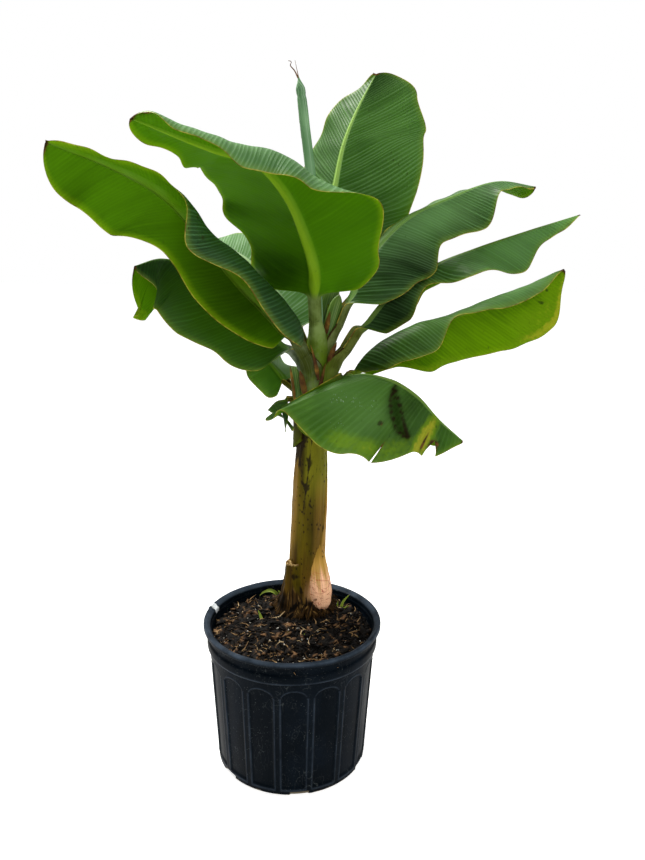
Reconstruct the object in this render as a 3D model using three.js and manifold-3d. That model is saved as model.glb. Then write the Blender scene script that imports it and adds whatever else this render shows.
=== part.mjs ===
// Banana plant in a ribbed nursery pot. Millimetres, +Z up.
// The origin is the centre of the pot's flat underside, and the plant is seen from -Y.
import * as THREE from "three";
import { mergeVertices } from "three/addons/utils/BufferGeometryUtils.js";
import Module from "manifold-3d";

const wasm = await Module();
wasm.setup();

// Pot
const POT_HEIGHT = 302;
const FOOT_RADIUS = 152;
const BODY_TOP_RADIUS = 167;
const BODY_TOP = 253;
const BAND_RADIUS = 172;
const BAND_TOP = 271;
const GROOVE_RADIUS = 168.5;
const LIP_RADIUS = 179;
const LIP_BOTTOM = 291;
const POT_WALL = 3.2;
const POT_FLOOR = 5;
const FOOT_ROUND = 7;
const POT_SIDES = 96;
const PANELS = 16;
const PANEL_DEPTH = 2.4;
const PANEL_TURN = -86.5;
const PANEL_SHARE = 0.77;
const PANEL_BOTTOM = 16;
const PANEL_TOP = 236;
const PANEL_ARCH = 18;
const LEDGE_HEIGHT = 276;
const NOTCHES = 6;
const NOTCH_TURN = -82;
const NOTCH_WIDTH = 36;
const NOTCH_HEIGHT = 8;
const NOTCH_DEPTH = 9;
const SEAT_GAP = 0.35;

// Soil
const SOIL_TOP = 272;
const MOUND_HEIGHT = 18;
const SOIL_ROUGHNESS = 2.2;
const SOIL_SIDES = 48;
// Shares of the way from the pot's wall to the seat, for the rings of the soil's top.
const SOIL_STEPS = [0, 0.2, 0.4, 0.6, 0.8, 1];
const MOUND_START = 0.35;

// Pseudostem
const STEM_X = 25;
const STEM_Y = 75;
const SEAT_RADIUS = 62;
const STEM_FOOT = SOIL_TOP + MOUND_HEIGHT + SEAT_GAP;
const STEM_SIDES = 16;
const STEM_TOP = 792;
// Each ring: height, offset of the centre from the foot in X, and radius.
const STEM_RINGS = [
  [STEM_FOOT, 0, 57],
  [304, 0, 53],
  [330, 0, 44],
  [365, 1, 40.5],
  [420, 3, 39],
  [500, 6, 37.5],
  [600, 8, 36.5],
  [680, 9, 37.5],
  [725, 12, 41],
  [760, 14, 41],
  [STEM_TOP, 15, 30],
];
const STEM_OVAL = 0.95;

// Leaves
const STALK_SIDES = 9;
const STALK_ROWS = 3;
const BLADE_ROWS = 16;
const MIN_THICKNESS = 3;
const THICKNESS_SHARE = 0.0112;
const TIP_HALF_WIDTH = 4;
// Shares of the half width at which the blade's columns stand, from the midrib out.
const COLUMNS = [0, 0.09, 0.38, 0.69, 1];
const SHEATH_SHARE = 0.62;
const SHEATH_SPREAD = 1.65;

const COLOURS = {
  pot: [0x23282f, 0.55, 0],
  soil: [0x2e221b, 0.95, 0],
  stem: [0x7d7440, 0.7, 0],
  upper: [0x2f6a3c, 0.5, 0],
  spear: [0x6f9a63, 0.6, 0],
};

// A half of a blade, from the midrib to the margin:
// width in mm, and stations along the leaf of the rise in degrees toward the upper side, the bend
// from midrib to margin in degrees, the share of the width, and the lean of the veins in degrees.
// wave is the ripple of the margin: degrees, waves along the leaf, and the phase in turns.
const LEAVES = [
  {
    name: "leaf_left_upper",
    petiole: [[40, 60, 780], [22, 42, 825], [2, 22, 868]],
    midrib: [[2, 22, 868], [-40, -10, 920], [-85, -45, 970], [-145, -85, 1045],
      [-205, -130, 1115], [-280, -165, 1155], [-370, -190, 1185]],
    left: {
      width: 115, wave: [4, 3, 0],
      rise: [40, 45, 58, 30, 55, 60, 60],
      bend: [-130, -150, -150, -160, -60, -30, 0],
      share: [1, 1.15, 0.85, 0.85, 0.3, 0.15, 0.15],
      lean: [-20, 0, 15, 15],
    },
    right: {
      width: 140, wave: [4, 3, 0.3],
      rise: [-90, -90, -80, -80, -75, -80, -70],
      bend: [20, 20, 10, 10, 0, 0, 0],
      share: [0.5, 0.56, 0.6, 0.5, 0.76, 0.62, 0.75],
      lean: [-20, 0, 15, 10],
    },
    foot: 0.25, taper: 0.7, blunt: 3, stalk: 14,
  },
  {
    name: "leaf_front",
    petiole: [[50, 60, 835], [40, 45, 885], [36, 20, 940]],
    midrib: [[36, 20, 940], [35, -5, 995], [20, -35, 1050], [-15, -80, 1125],
      [-55, -115, 1165], [-120, -165, 1180], [-230, -230, 1215]],
    left: {
      width: 150, wave: [3, 3, 0],
      rise: [10, 15, 15, 30, 40, 40, 40],
      bend: [0, 0, -10, -90, -120, -90, -60],
      share: [0.65, 0.8, 1.05, 1, 0.7, 0.5, 0.5],
      lean: [-15, 0, 10, 5],
    },
    right: {
      width: 160, wave: [0, 3, 0.5],
      rise: [10, 15, 15, 10, 0, 0, 0],
      bend: [0, 0, -10, -20, -20, -40, -60],
      share: [0.55, 1, 1.3, 1.15, 0.65, 0.3, 0.3],
      lean: [-15, 0, 10, 5],
    },
    foot: 0.15, taper: 0.8, blunt: 4, stalk: 12.5,
  },
  {
    name: "leaf_back",
    petiole: [[60, 95, 865], [55, 115, 930], [55, 130, 1000]],
    midrib: [[55, 130, 1000], [60, 145, 1080], [72, 158, 1155], [88, 172, 1230],
      [112, 182, 1290], [148, 192, 1358]],
    left: {
      width: 130, wave: [4, 3, 0],
      rise: [-55, -55, -55, -50, -40],
      bend: [0, 0],
      share: [0.8, 0.9, 1, 0.66, 0.2],
      lean: [0, 5, 10, 0],
    },
    right: {
      width: 170, wave: [3, 3, 0.5],
      rise: [-12, -12, 8, 10, 5],
      bend: [0, 0, 0, -10, -10],
      share: [0.8, 0.87, 0.92, 0.97, 0.9, 0.72, 0.5],
      lean: [-20, 0, 20, 46],
    },
    foot: 0.2, taper: 0.6, blunt: 3.5, stalk: 11, face: [0, -1, 0.3],
  },
  {
    name: "leaf_right_upper",
    petiole: [[65, 80, 830], [80, 82, 880], [95, 85, 920]],
    midrib: [[95, 85, 920], [150, 105, 1030], [205, 120, 1085], [295, 130, 1130],
      [390, 130, 1160], [455, 120, 1150]],
    left: {
      width: 110, wave: [4, 3, 0],
      rise: [10, 10, 0, -30],
      bend: [0, 0],
      share: [0.12, 0.12, 0.12, 0.12, 0.6, 0.6, 0.6],
      lean: [-10, 5, 15, 15],
    },
    right: {
      width: 130, wave: [4, 3, 0.5],
      rise: [-30, -35, -55, -60, -65, -30, -10],
      bend: [-40, -30, -20, 0, 0, 0, 0],
      share: [0.7, 0.86, 0.92, 0.64, 0.7, 0.34, 0.25],
      lean: [0, 5, 15, 15],
    },
    foot: 0.25, taper: 0.7, blunt: 3, stalk: 11,
  },
  {
    name: "leaf_right_middle",
    petiole: [[60, 68, 785], [94, 68, 838], [117, 75, 875]],
    midrib: [[117, 75, 875], [170, 90, 940], [260, 109, 1001], [345, 115, 1035],
      [450, 120, 1070], [545, 120, 1100]],
    left: {
      width: 100, wave: [4, 3, 0],
      rise: [-30, -60, -75, -60, -20, -10, -10],
      bend: [0, 0],
      share: [1, 0.95, 0.46, 0.5, 0.9, 0.9, 0.9],
      lean: [0, 5, 10, 10],
    },
    right: {
      width: 115, wave: [3, 3, 0.5],
      rise: [-80, -75, -60, -25, -50, -50, -40],
      bend: [0, 0],
      share: [0.7, 0.62, 0.3, 0.77, 0.8, 0.4, 0.3],
      lean: [0, 5, 10, 10],
    },
    foot: 0.25, taper: 0.6, blunt: 2, stalk: 14,
  },
  {
    name: "leaf_right_lower",
    petiole: [[70, 57, 758], [88, 54, 775], [106, 52, 794]],
    midrib: [[106, 52, 794], [160, 47, 845], [250, 40, 895], [335, 40, 928],
      [420, 40, 960], [500, 45, 1000]],
    left: {
      width: 130, wave: [5, 3, 0],
      rise: [-90, -85, -80, -80, -80, -85, -85],
      bend: [10, 0, 0, 0, 0, 0, 0],
      share: [0.3, 0.4, 0.72, 0.75, 0.85, 0.8, 0.4],
      lean: [0, 5, 15, 10],
    },
    right: {
      width: 110, wave: [4, 3, 0.5],
      rise: [50, 45, 45, 20, 40, 40, 30],
      bend: [-150, -150, -160, -40, -110, -110, -60],
      share: [0.5, 0.9, 1.05, 0.4, 0.6, 0.5, 0.3],
      lean: [0, 5, 15, 10],
    },
    foot: 0.25, taper: 0.75, blunt: 2.2, stalk: 11,
  },
  {
    name: "leaf_front_low",
    petiole: [[55, 58, 752], [76, 36, 776], [94, 8, 800]],
    midrib: [[94, 8, 800], [133, -22, 810], [187, -67, 804], [222, -102, 785],
      [256, -132, 750], [296, -147, 716]],
    left: {
      width: 95, wave: [8, 3, 0],
      rise: [-10, -30, -50, -40],
      bend: [0, 0],
      share: [0.2, 0.7, 1, 1],
      lean: [-20, 0, 0],
    },
    right: {
      width: 200, wave: [5, 3, 0.5],
      rise: [-30, -26, -50, -76, -80, -80],
      bend: [-10, -20, -10, -10, -10, 0],
      share: [1.04, 0.93, 0.93, 0.8, 0.38, 0.12],
      lean: [-64, -46, -14, 14, 30],
    },
    foot: 0.1, taper: 0.75, blunt: 3, stalk: 11,
  },
  {
    name: "leaf_left_lower",
    petiole: [[25, 75, 795], [10, 74, 815], [-5, 70, 835]],
    midrib: [[-5, 70, 835], [-75, 75, 892], [-140, 65, 950], [-200, 50, 996],
      [-250, 35, 1008], [-295, 20, 994]],
    left: {
      width: 125, wave: [4, 3, 0],
      rise: [-50, -50, -60, -60, -60],
      bend: [-10, -10, -20, -20, -20],
      share: [0.8, 0.87, 1, 0.86, 0.4],
      lean: [0, 5, 15, 10],
    },
    right: {
      width: 100, wave: [4, 3, 0.5],
      rise: [-10, -10, -30, -80, -85],
      bend: [0, 0, 0, -10, -10],
      share: [1, 1, 1, 1.35, 1.25],
      lean: [0, 5, 15, 35],
    },
    foot: 0.2, taper: 0.7, blunt: 3, stalk: 11,
  },
  {
    name: "leaf_left_small",
    petiole: [[25, 80, 730], [4, 97, 750], [-22, 112, 768]],
    midrib: [[-22, 112, 768], [-34, 126, 782], [-56, 140, 804], [-92, 150, 838]],
    left: {
      width: 92, wave: [6, 3, 0],
      rise: [-50, -70, -60],
      bend: [0, 0],
      share: [0.62, 0.62, 0.5],
      lean: [-42, -10, 0, 10],
    },
    right: {
      width: 80, wave: [6, 3, 0.5],
      rise: [-10, -10, -10],
      bend: [0, 0],
      share: [1, 1],
      lean: [0, 5, 15, 10],
    },
    foot: 0.25, taper: 0.5, blunt: 2.2, stalk: 9,
  },
  {
    name: "leaf_back_left",
    petiole: [[30, 90, 815], [18, 100, 842], [5, 110, 870]],
    midrib: [[5, 110, 870], [-25, 140, 915], [-65, 175, 965], [-120, 215, 1010],
      [-190, 260, 1030], [-260, 300, 1010]],
    left: {
      width: 90, wave: [6, 3, 0],
      rise: [0, -10, -30, -40],
      bend: [0, 0],
      share: [0.5, 0.8, 1, 1],
      lean: [-10, 5, 15, 15],
    },
    right: {
      width: 105, wave: [6, 3, 0.5],
      rise: [20, 20, 10],
      bend: [0, 0],
      share: [1, 1],
      lean: [-10, 5, 15, 15],
    },
    foot: 0.25, taper: 0.5, blunt: 2.2, stalk: 10,
  },
  {
    name: "torn_leaf",
    petiole: [[20, 66, 738], [2, 60, 742], [-14, 54, 744]],
    midrib: [[-14, 54, 744], [-34, 50, 740], [-52, 46, 722]],
    left: {
      width: 70, wave: [10, 2, 0],
      rise: [-55, -70, -70],
      bend: [0, 0],
      share: [0.9, 0.95, 0.5],
      lean: [5, 5],
    },
    right: {
      width: 22, wave: [10, 2, 0.5],
      rise: [-30, -40],
      bend: [0, 0],
      share: [1, 1],
      lean: [20, 20],
    },
    foot: 0.3, taper: 0.5, blunt: 2, stalk: 7,
  },
];

// The rolled spear leaf, from the heart of the stem to the dried thread at its tip.
const SPEAR_PATH = [[43, 76, 830], [35, 79, 1000], [25, 90, 1165], [15, 90, 1240], [5, 90, 1315], [-5, 90, 1360]];
const SPEAR_RADII = [13, 12.7, 12.2, 11.6, 11, 10.4, 9.9, 9.5, 9.1, 8.4, 2];
const SPEAR_SIDES = 10;
const SPEAR_ROWS = 14;
const SPEAR_SHEATH = 60;

const vector = (p) => new THREE.Vector3(p[0], p[1], p[2]);
const radians = THREE.MathUtils.degToRad;
const clamp01 = (t) => THREE.MathUtils.clamp(t, 0, 1);

// Smooth curve through points, read by the share of the chord length.
function smoothCurve(points) {
  const p = points.map(vector);
  const knots = [0];
  for (let i = 1; i < p.length; i++) knots.push(knots[i - 1] + p[i].distanceTo(p[i - 1]));
  const span = knots[p.length - 1];
  const k = knots.map((d) => d / span);
  const slope = p.map((point, i) => {
    const before = i > 0 ? point.clone().sub(p[i - 1]).divideScalar(k[i] - k[i - 1]) : null;
    const after = i < p.length - 1 ? p[i + 1].clone().sub(point).divideScalar(k[i + 1] - k[i]) : null;
    if (!before) return after;
    if (!after) return before;
    const a = k[i] - k[i - 1];
    const b = k[i + 1] - k[i];
    return before.multiplyScalar(b).add(after.multiplyScalar(a)).divideScalar(a + b);
  });
  const at = (u) => {
    const s = clamp01(u);
    let j = 0;
    while (j < p.length - 2 && s > k[j + 1]) j++;
    const h = k[j + 1] - k[j];
    const t = (s - k[j]) / h;
    return new THREE.Vector3()
      .addScaledVector(p[j], 2 * t ** 3 - 3 * t ** 2 + 1)
      .addScaledVector(slope[j], (t ** 3 - 2 * t ** 2 + t) * h)
      .addScaledVector(p[j + 1], -2 * t ** 3 + 3 * t ** 2)
      .addScaledVector(slope[j + 1], (t ** 3 - t ** 2) * h);
  };
  const step = 1e-3;
  const tangent = (u) => at(u + step).sub(at(u - step)).normalize();
  return { at, tangent, span };
}

// Smooth value between evenly spaced stations along the leaf.
function station(values, u) {
  const n = values.length - 1;
  const x = clamp01(u) * n;
  const j = Math.min(Math.floor(x), n - 1);
  const t = x - j;
  const s = t * t * (3 - 2 * t);
  return values[j] * (1 - s) + values[j + 1] * s;
}

// Share of the full half width at u: round at the foot, blunt at the tip.
function bladeShare(leaf, u) {
  const a = clamp01(u / leaf.foot);
  const b = clamp01((u - leaf.taper) / (1 - leaf.taper));
  return Math.sqrt(Math.max(1 - (1 - a) ** 2, 0)) * Math.max(1 - b ** leaf.blunt, 0) ** 0.6;
}

// Directions along the midrib, to the leaf's right, and out of its upper side.
function leafFrame(leaf, curve, u) {
  const along = curve.tangent(u);
  const face = vector(leaf.face ?? [0, 0, 1]).normalize();
  const up = face.addScaledVector(along, -face.dot(along)).normalize();
  const right = along.clone().cross(up);
  return { along, up, right };
}

// Points and surface normals from the midrib to the margin of one half, at the shares in COLUMNS.
function halfRow(leaf, curve, u, side) {
  const half = side > 0 ? leaf.right : leaf.left;
  const { along, up, right } = leafFrame(leaf, curve, u);
  const width = Math.max(half.width * bladeShare(leaf, u) * station(half.share, u), TIP_HALF_WIDTH);
  const rise = radians(station(half.rise, u));
  const [waveDegrees, waves, phase] = half.wave;
  const ripple = radians(waveDegrees) * Math.sin(2 * Math.PI * (waves * u + phase));
  const bend = radians(station(half.bend, u)) + ripple;
  const lean = radians(station(half.lean, u));
  const direction = (angle) =>
    right.clone().multiplyScalar(side * Math.cos(angle)).addScaledVector(up, Math.sin(angle));
  const normal = (angle) =>
    up.clone().multiplyScalar(Math.cos(angle)).addScaledVector(right, -side * Math.sin(angle));
  const row = [{ point: curve.at(u), normal: normal(rise) }];
  for (let i = 1; i < COLUMNS.length; i++) {
    const from = COLUMNS[i - 1];
    const to = COLUMNS[i];
    const angle = rise + (bend * (from + to)) / 2;
    const turn = (bend * (to - from)) / 2;
    const chord = Math.abs(turn) < 1e-6 ? 1 : Math.sin(turn) / turn;
    const point = row[i - 1].point
      .clone()
      .addScaledVector(direction(angle), Math.cos(lean) * width * (to - from) * chord)
      .addScaledVector(along, Math.sin(lean) * width * (to - from) * chord);
    row.push({ point, normal: normal(rise + bend * to) });
  }
  return row;
}

// Closed solid through rings of equal size, with both ends capped.
function loftSolid(rings) {
  const size = rings[0].length;
  const positions = rings.flat().flatMap((p) => [p.x, p.y, p.z]);
  const index = [];
  for (let r = 0; r < rings.length - 1; r++) {
    for (let i = 0; i < size; i++) {
      const a = r * size + i;
      const b = r * size + ((i + 1) % size);
      index.push(a, b, b + size, a, b + size, a + size);
    }
  }
  const last = (rings.length - 1) * size;
  for (let i = 0; i < size / 2 - 1; i++) {
    const j = size - 1 - i;
    index.push(i, j, j - 1, i, j - 1, i + 1);
    index.push(last + i, last + j - 1, last + j, last + i, last + i + 1, last + j - 1);
  }
  return solidFrom(positions, index);
}

function solidFrom(positions, index) {
  const make = (order) =>
    new wasm.Manifold(
      new wasm.Mesh({
        numProp: 3,
        vertProperties: new Float32Array(positions),
        triVerts: new Uint32Array(order),
      }),
    );
  const solid = make(index);
  if (solid.volume() > 0) return solid;
  const turned = [];
  for (let i = 0; i < index.length; i += 3) turned.push(index[i], index[i + 2], index[i + 1]);
  return make(turned);
}

function solidOfGeometry(geometry) {
  const bare = geometry.clone();
  bare.deleteAttribute("normal");
  bare.deleteAttribute("uv");
  const merged = mergeVertices(bare, 1e-4);
  return solidFrom(Array.from(merged.attributes.position.array), Array.from(merged.index.array));
}

// Ring of an even number of points round a path, seen in the leaf's frame.
function tubeRing(centre, right, up, radius, sides) {
  const ring = [];
  for (let i = 0; i < sides * 2; i++) {
    const angle = Math.PI - ((i + 0.5) * Math.PI) / sides;
    ring.push(
      centre.clone()
        .addScaledVector(right, Math.cos(angle) * radius)
        .addScaledVector(up, Math.sin(angle) * radius),
    );
  }
  return ring;
}

// One leaf as one solid: its stalk from the sheath's end, then the blade with the midrib's keel.
function leafSolid(leaf) {
  const stalk = smoothCurve(leaf.petiole);
  const rib = smoothCurve(leaf.midrib);
  const thickness = Math.max(MIN_THICKNESS, THICKNESS_SHARE * (stalk.span + rib.span));
  const rings = [];
  const start = SHEATH_SHARE + SEAT_GAP / stalk.span;
  for (let i = 0; i < STALK_ROWS; i++) {
    const u = start + ((1 - start) * i) / STALK_ROWS;
    const { up, right } = leafFrame(leaf, stalk, u);
    rings.push(tubeRing(stalk.at(u), right, up, leaf.stalk, STALK_SIDES));
  }
  for (let i = 0; i <= BLADE_ROWS; i++) {
    const u = (i / BLADE_ROWS) ** 1.15;
    if (i === 0) {
      const { up, right } = leafFrame(leaf, rib, 0);
      rings.push(tubeRing(rib.at(0), right, up, leaf.stalk, STALK_SIDES));
      continue;
    }
    const left = halfRow(leaf, rib, u, -1);
    const right = halfRow(leaf, rib, u, 1);
    const { up } = leafFrame(leaf, rib, u);
    const keel = (leaf.stalk * 1.2 - 2) * (1 - u) ** 0.8;
    const upper = [...left.slice(1).reverse(), { point: rib.at(u), normal: up, keel }, ...right.slice(1)];
    const above = upper.map((v) => v.point.clone().addScaledVector(v.normal, thickness / 2));
    const below = upper.map((v) => v.point.clone().addScaledVector(v.normal, -thickness / 2 - (v.keel ?? 0)));
    rings.push([...above, ...below.reverse()]);
  }
  return loftSolid(rings);
}

// The clasping sheath from inside the stem to where the leaf's stalk stands free.
function sheathSolid(leaf) {
  const stalk = smoothCurve(leaf.petiole);
  const rings = [];
  for (let i = 0; i <= 3; i++) {
    const u = (SHEATH_SHARE * i) / 3;
    const { up, right } = leafFrame(leaf, stalk, u);
    const radius = leaf.stalk * (1 + (SHEATH_SPREAD - 1) * (1 - i / 3));
    rings.push(tubeRing(stalk.at(u), right, up, radius, 6));
  }
  return loftSolid(rings);
}

function stemBody() {
  const rings = STEM_RINGS.map(([z, offset, radius]) => {
    const ring = [];
    for (let i = 0; i < STEM_SIDES; i++) {
      const a = (2 * Math.PI * i) / STEM_SIDES;
      const x = STEM_X + offset + radius * Math.cos(a);
      const y = STEM_Y + radius * STEM_OVAL * Math.sin(a);
      ring.push(new THREE.Vector3(x, y, z));
    }
    return ring;
  });
  return loftSolid(rings);
}

// Stub of an old sheath that was cut off at the lower left, and the swelling at the right of the foot.
function footPieces() {
  const stub = new THREE.CylinderGeometry(17, 25, 78, 12);
  stub.rotateX(Math.PI / 2);
  stub.rotateY(radians(-4));
  stub.translate(STEM_X - 22, STEM_Y - 17, STEM_FOOT + 39.2);
  const swelling = new THREE.SphereGeometry(26, 14, 10);
  swelling.scale(1, 0.9, 1.05);
  swelling.translate(STEM_X + 24, STEM_Y - 20, STEM_FOOT + 27.5);
  return [solidOfGeometry(stub), solidOfGeometry(swelling)];
}

function spearCurve() {
  const curve = smoothCurve(SPEAR_PATH);
  const radiusAt = (u) => station(SPEAR_RADII, u);
  return { curve, radiusAt };
}

function spearRings(from, to, rows, grow) {
  const { curve, radiusAt } = spearCurve();
  const rings = [];
  for (let i = 0; i <= rows; i++) {
    const u = from + ((to - from) * i) / rows;
    const frame = leafFrame({ face: [0, -1, 0] }, curve, u);
    rings.push(tubeRing(curve.at(u), frame.right, frame.up, radiusAt(u) + grow, SPEAR_SIDES / 2));
  }
  return rings;
}

function spearSolid() {
  const start = (SPEAR_SHEATH + SEAT_GAP) / spearCurve().curve.span;
  return loftSolid(spearRings(start, 1, SPEAR_ROWS, 0));
}

function pseudostemSolid() {
  const spearSheath = loftSolid(spearRings(0, SPEAR_SHEATH / spearCurve().curve.span, 2, 4));
  return [spearSheath, ...LEAVES.map(sheathSolid), ...footPieces()]
    .reduce((body, piece) => body.add(piece), stemBody())
    .trimByPlane([0, 0, 1], STEM_FOOT);
}

// How deep the pot's side is pressed in at an angle and height: tall arched panels between ribs.
function panelDepth(angle, z) {
  const turn = ((angle - radians(PANEL_TURN)) / (2 * Math.PI)) * PANELS;
  const across = Math.abs(turn - Math.round(turn)) * 2;
  if (across > PANEL_SHARE) return 0;
  const arch = PANEL_TOP - PANEL_ARCH * (across / PANEL_SHARE) ** 2;
  return z > PANEL_BOTTOM && z < arch ? PANEL_DEPTH : 0;
}

// Outer radius of the tapered body at a height.
const taper = (z) => FOOT_RADIUS + ((BODY_TOP_RADIUS - FOOT_RADIUS) * z) / BODY_TOP;

// Radius of the pot's inside at a height below its rim.
function innerRadius(z) {
  const floor = taper(POT_FLOOR) - PANEL_DEPTH - POT_WALL - 2;
  const ledge = taper(PANEL_TOP) - PANEL_DEPTH - POT_WALL;
  const t = (z - POT_FLOOR) / (LEDGE_HEIGHT - POT_FLOOR);
  return t <= 1 ? floor + (ledge - floor) * t : ledge;
}

function potSolid() {
  const bodyHeights = [12, 19, PANEL_TOP - 20, PANEL_TOP - 3, PANEL_TOP + 3];
  const outer = [
    [0, 0],
    [FOOT_RADIUS - FOOT_ROUND, 0],
    [FOOT_RADIUS - 1.5, 3.5],
    ...bodyHeights.map((z) => [taper(z), z]),
    [BODY_TOP_RADIUS, BODY_TOP - 1.5],
    [BAND_RADIUS, BODY_TOP],
    [BAND_RADIUS, BAND_TOP],
    [GROOVE_RADIUS, BAND_TOP + 1.5],
    [GROOVE_RADIUS + 0.5, LIP_BOTTOM - 1.5],
    [LIP_RADIUS - 1.5, LIP_BOTTOM],
    [LIP_RADIUS, LIP_BOTTOM + 2],
    [LIP_RADIUS, POT_HEIGHT - 2.5],
    [LIP_RADIUS - 2.5, POT_HEIGHT],
  ];
  const inner = [
    [LIP_RADIUS - 8, POT_HEIGHT],
    [GROOVE_RADIUS - POT_WALL, POT_HEIGHT - 6],
    [innerRadius(LEDGE_HEIGHT), LEDGE_HEIGHT],
    [innerRadius(POT_FLOOR), POT_FLOOR],
    [0, POT_FLOOR],
  ];
  const profile = [...outer, ...inner];
  const positions = [];
  const index = [];
  const start = profile.map(([r], row) => {
    const first = positions.length / 3;
    const sides = r === 0 ? 1 : POT_SIDES;
    const z = profile[row][1];
    for (let i = 0; i < sides; i++) {
      const angle = (2 * Math.PI * i) / POT_SIDES;
      const pressed = row < outer.length && z < BODY_TOP ? panelDepth(angle, z) : 0;
      positions.push((r - pressed) * Math.cos(angle), (r - pressed) * Math.sin(angle), z);
    }
    return first;
  });
  for (let row = 0; row < profile.length - 1; row++) {
    const low = (i) => start[row] + (profile[row][0] === 0 ? 0 : i % POT_SIDES);
    const high = (i) => start[row + 1] + (profile[row + 1][0] === 0 ? 0 : i % POT_SIDES);
    for (let i = 0; i < POT_SIDES; i++) {
      if (profile[row][0] !== 0) index.push(low(i), low(i + 1), high(i + 1));
      if (profile[row + 1][0] !== 0) index.push(low(i), high(i + 1), high(i));
    }
  }
  let pot = solidFrom(positions, index);
  for (let i = 0; i < NOTCHES; i++) {
    const notch = new THREE.BoxGeometry(NOTCH_DEPTH * 2, NOTCH_WIDTH, NOTCH_HEIGHT * 2);
    notch.translate(FOOT_RADIUS, 0, 0);
    notch.rotateZ(radians(NOTCH_TURN) + (2 * Math.PI * i) / NOTCHES);
    pot = pot.subtract(solidOfGeometry(notch));
  }
  return pot;
}

// Filling of the pot: a plug whose uneven top rises in a mound to a flat seat under the stem.
// Its upper rings move from the pot's centre to the stem's, so the seat stays a true circle.
function soilSolid() {
  const low = innerRadius(POT_FLOOR) - SEAT_GAP;
  const high = innerRadius(SOIL_TOP) - SEAT_GAP - 1;
  const positions = [];
  const index = [];
  const addRing = (x, y, radius, height) => {
    const first = positions.length / 3;
    for (let i = 0; i < SOIL_SIDES; i++) {
      const a = (2 * Math.PI * i) / SOIL_SIDES;
      const px = x + radius * Math.cos(a);
      const py = y + radius * Math.sin(a);
      positions.push(px, py, height(px, py));
    }
    return first;
  };
  const rows = [addRing(0, 0, low, () => POT_FLOOR + SEAT_GAP)];
  for (const t of SOIL_STEPS) {
    const rise = MOUND_HEIGHT * clamp01((t - MOUND_START) / (1 - MOUND_START)) ** 0.7;
    const lumps = (x, y) => Math.sin(x / 11) * Math.cos(y / 13) + 0.5 * Math.sin((x + y) / 7);
    rows.push(
      addRing(STEM_X * t, STEM_Y * t, high * (1 - t) + SEAT_RADIUS * t, (x, y) =>
        t < 1 ? SOIL_TOP + rise + SOIL_ROUGHNESS * lumps(x, y) * (1 - t) : SOIL_TOP + MOUND_HEIGHT,
      ),
    );
  }
  const bottom = positions.length / 3;
  positions.push(0, 0, POT_FLOOR + SEAT_GAP, STEM_X, STEM_Y, SOIL_TOP + MOUND_HEIGHT);
  const crown = bottom + 1;
  for (let i = 0; i < SOIL_SIDES; i++) {
    const j = (i + 1) % SOIL_SIDES;
    index.push(bottom, rows[0] + j, rows[0] + i);
    for (let r = 0; r < rows.length - 1; r++) {
      index.push(rows[r] + i, rows[r] + j, rows[r + 1] + j, rows[r] + i, rows[r + 1] + j, rows[r + 1] + i);
    }
    const end = rows[rows.length - 1];
    index.push(end + i, end + j, crown);
  }
  return solidFrom(positions, index);
}

function meshOf(name, solid, colour) {
  const data = solid.getMesh();
  const positions = new Float32Array(data.numVert * 3);
  for (let i = 0; i < data.numVert; i++) {
    positions.set(data.vertProperties.subarray(i * data.numProp, i * data.numProp + 3), i * 3);
  }
  const geometry = new THREE.BufferGeometry();
  geometry.setAttribute("position", new THREE.BufferAttribute(positions, 3));
  geometry.setIndex(new THREE.BufferAttribute(data.triVerts, 1));
  geometry.computeVertexNormals();
  const [color, roughness, metalness] = colour;
  const mesh = new THREE.Mesh(geometry, new THREE.MeshStandardMaterial({ color, roughness, metalness }));
  mesh.name = name;
  return mesh;
}

const plant = new THREE.Group();
plant.add(meshOf("pot", potSolid(), COLOURS.pot));
plant.add(meshOf("soil", soilSolid(), COLOURS.soil));
plant.add(meshOf("pseudostem", pseudostemSolid(), COLOURS.stem));
plant.add(meshOf("spear_leaf", spearSolid(), COLOURS.spear));
for (const leaf of LEAVES) plant.add(meshOf(leaf.name, leafSolid(leaf), COLOURS.upper));

export default plant;
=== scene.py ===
"""Banana plant in a ribbed nursery pot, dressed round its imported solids.

Lengths in this file are millimetres and become metres when a mesh is made. +Z is up, and the
plant is seen from -Y.
"""

from __future__ import annotations

import logging
import math
from dataclasses import dataclass
from enum import Enum
from typing import Sequence, Union

import bpy
import numpy as np
from mathutils import Matrix, Vector, noise

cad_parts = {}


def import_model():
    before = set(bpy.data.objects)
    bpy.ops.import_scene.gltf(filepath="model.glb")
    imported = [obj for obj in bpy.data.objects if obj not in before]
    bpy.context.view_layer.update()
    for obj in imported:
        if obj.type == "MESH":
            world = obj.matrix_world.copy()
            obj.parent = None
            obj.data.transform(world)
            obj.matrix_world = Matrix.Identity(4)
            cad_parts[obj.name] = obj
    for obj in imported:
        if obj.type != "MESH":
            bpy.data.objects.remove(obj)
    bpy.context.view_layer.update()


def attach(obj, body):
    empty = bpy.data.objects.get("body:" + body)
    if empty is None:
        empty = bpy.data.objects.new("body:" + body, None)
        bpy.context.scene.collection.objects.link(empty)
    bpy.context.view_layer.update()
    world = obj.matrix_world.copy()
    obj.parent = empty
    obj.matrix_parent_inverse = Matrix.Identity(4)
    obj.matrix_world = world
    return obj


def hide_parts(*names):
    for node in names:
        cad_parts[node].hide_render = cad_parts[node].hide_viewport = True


MM = 0.001
BODY = "root"
PATTERN = "pattern"
Array = np.ndarray
Point = tuple[float, float, float]
Colour = tuple[int, int, int]
Socket = bpy.types.NodeSocket
Value = Union[float, Socket]
log = logging.getLogger("banana_plant")


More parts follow.
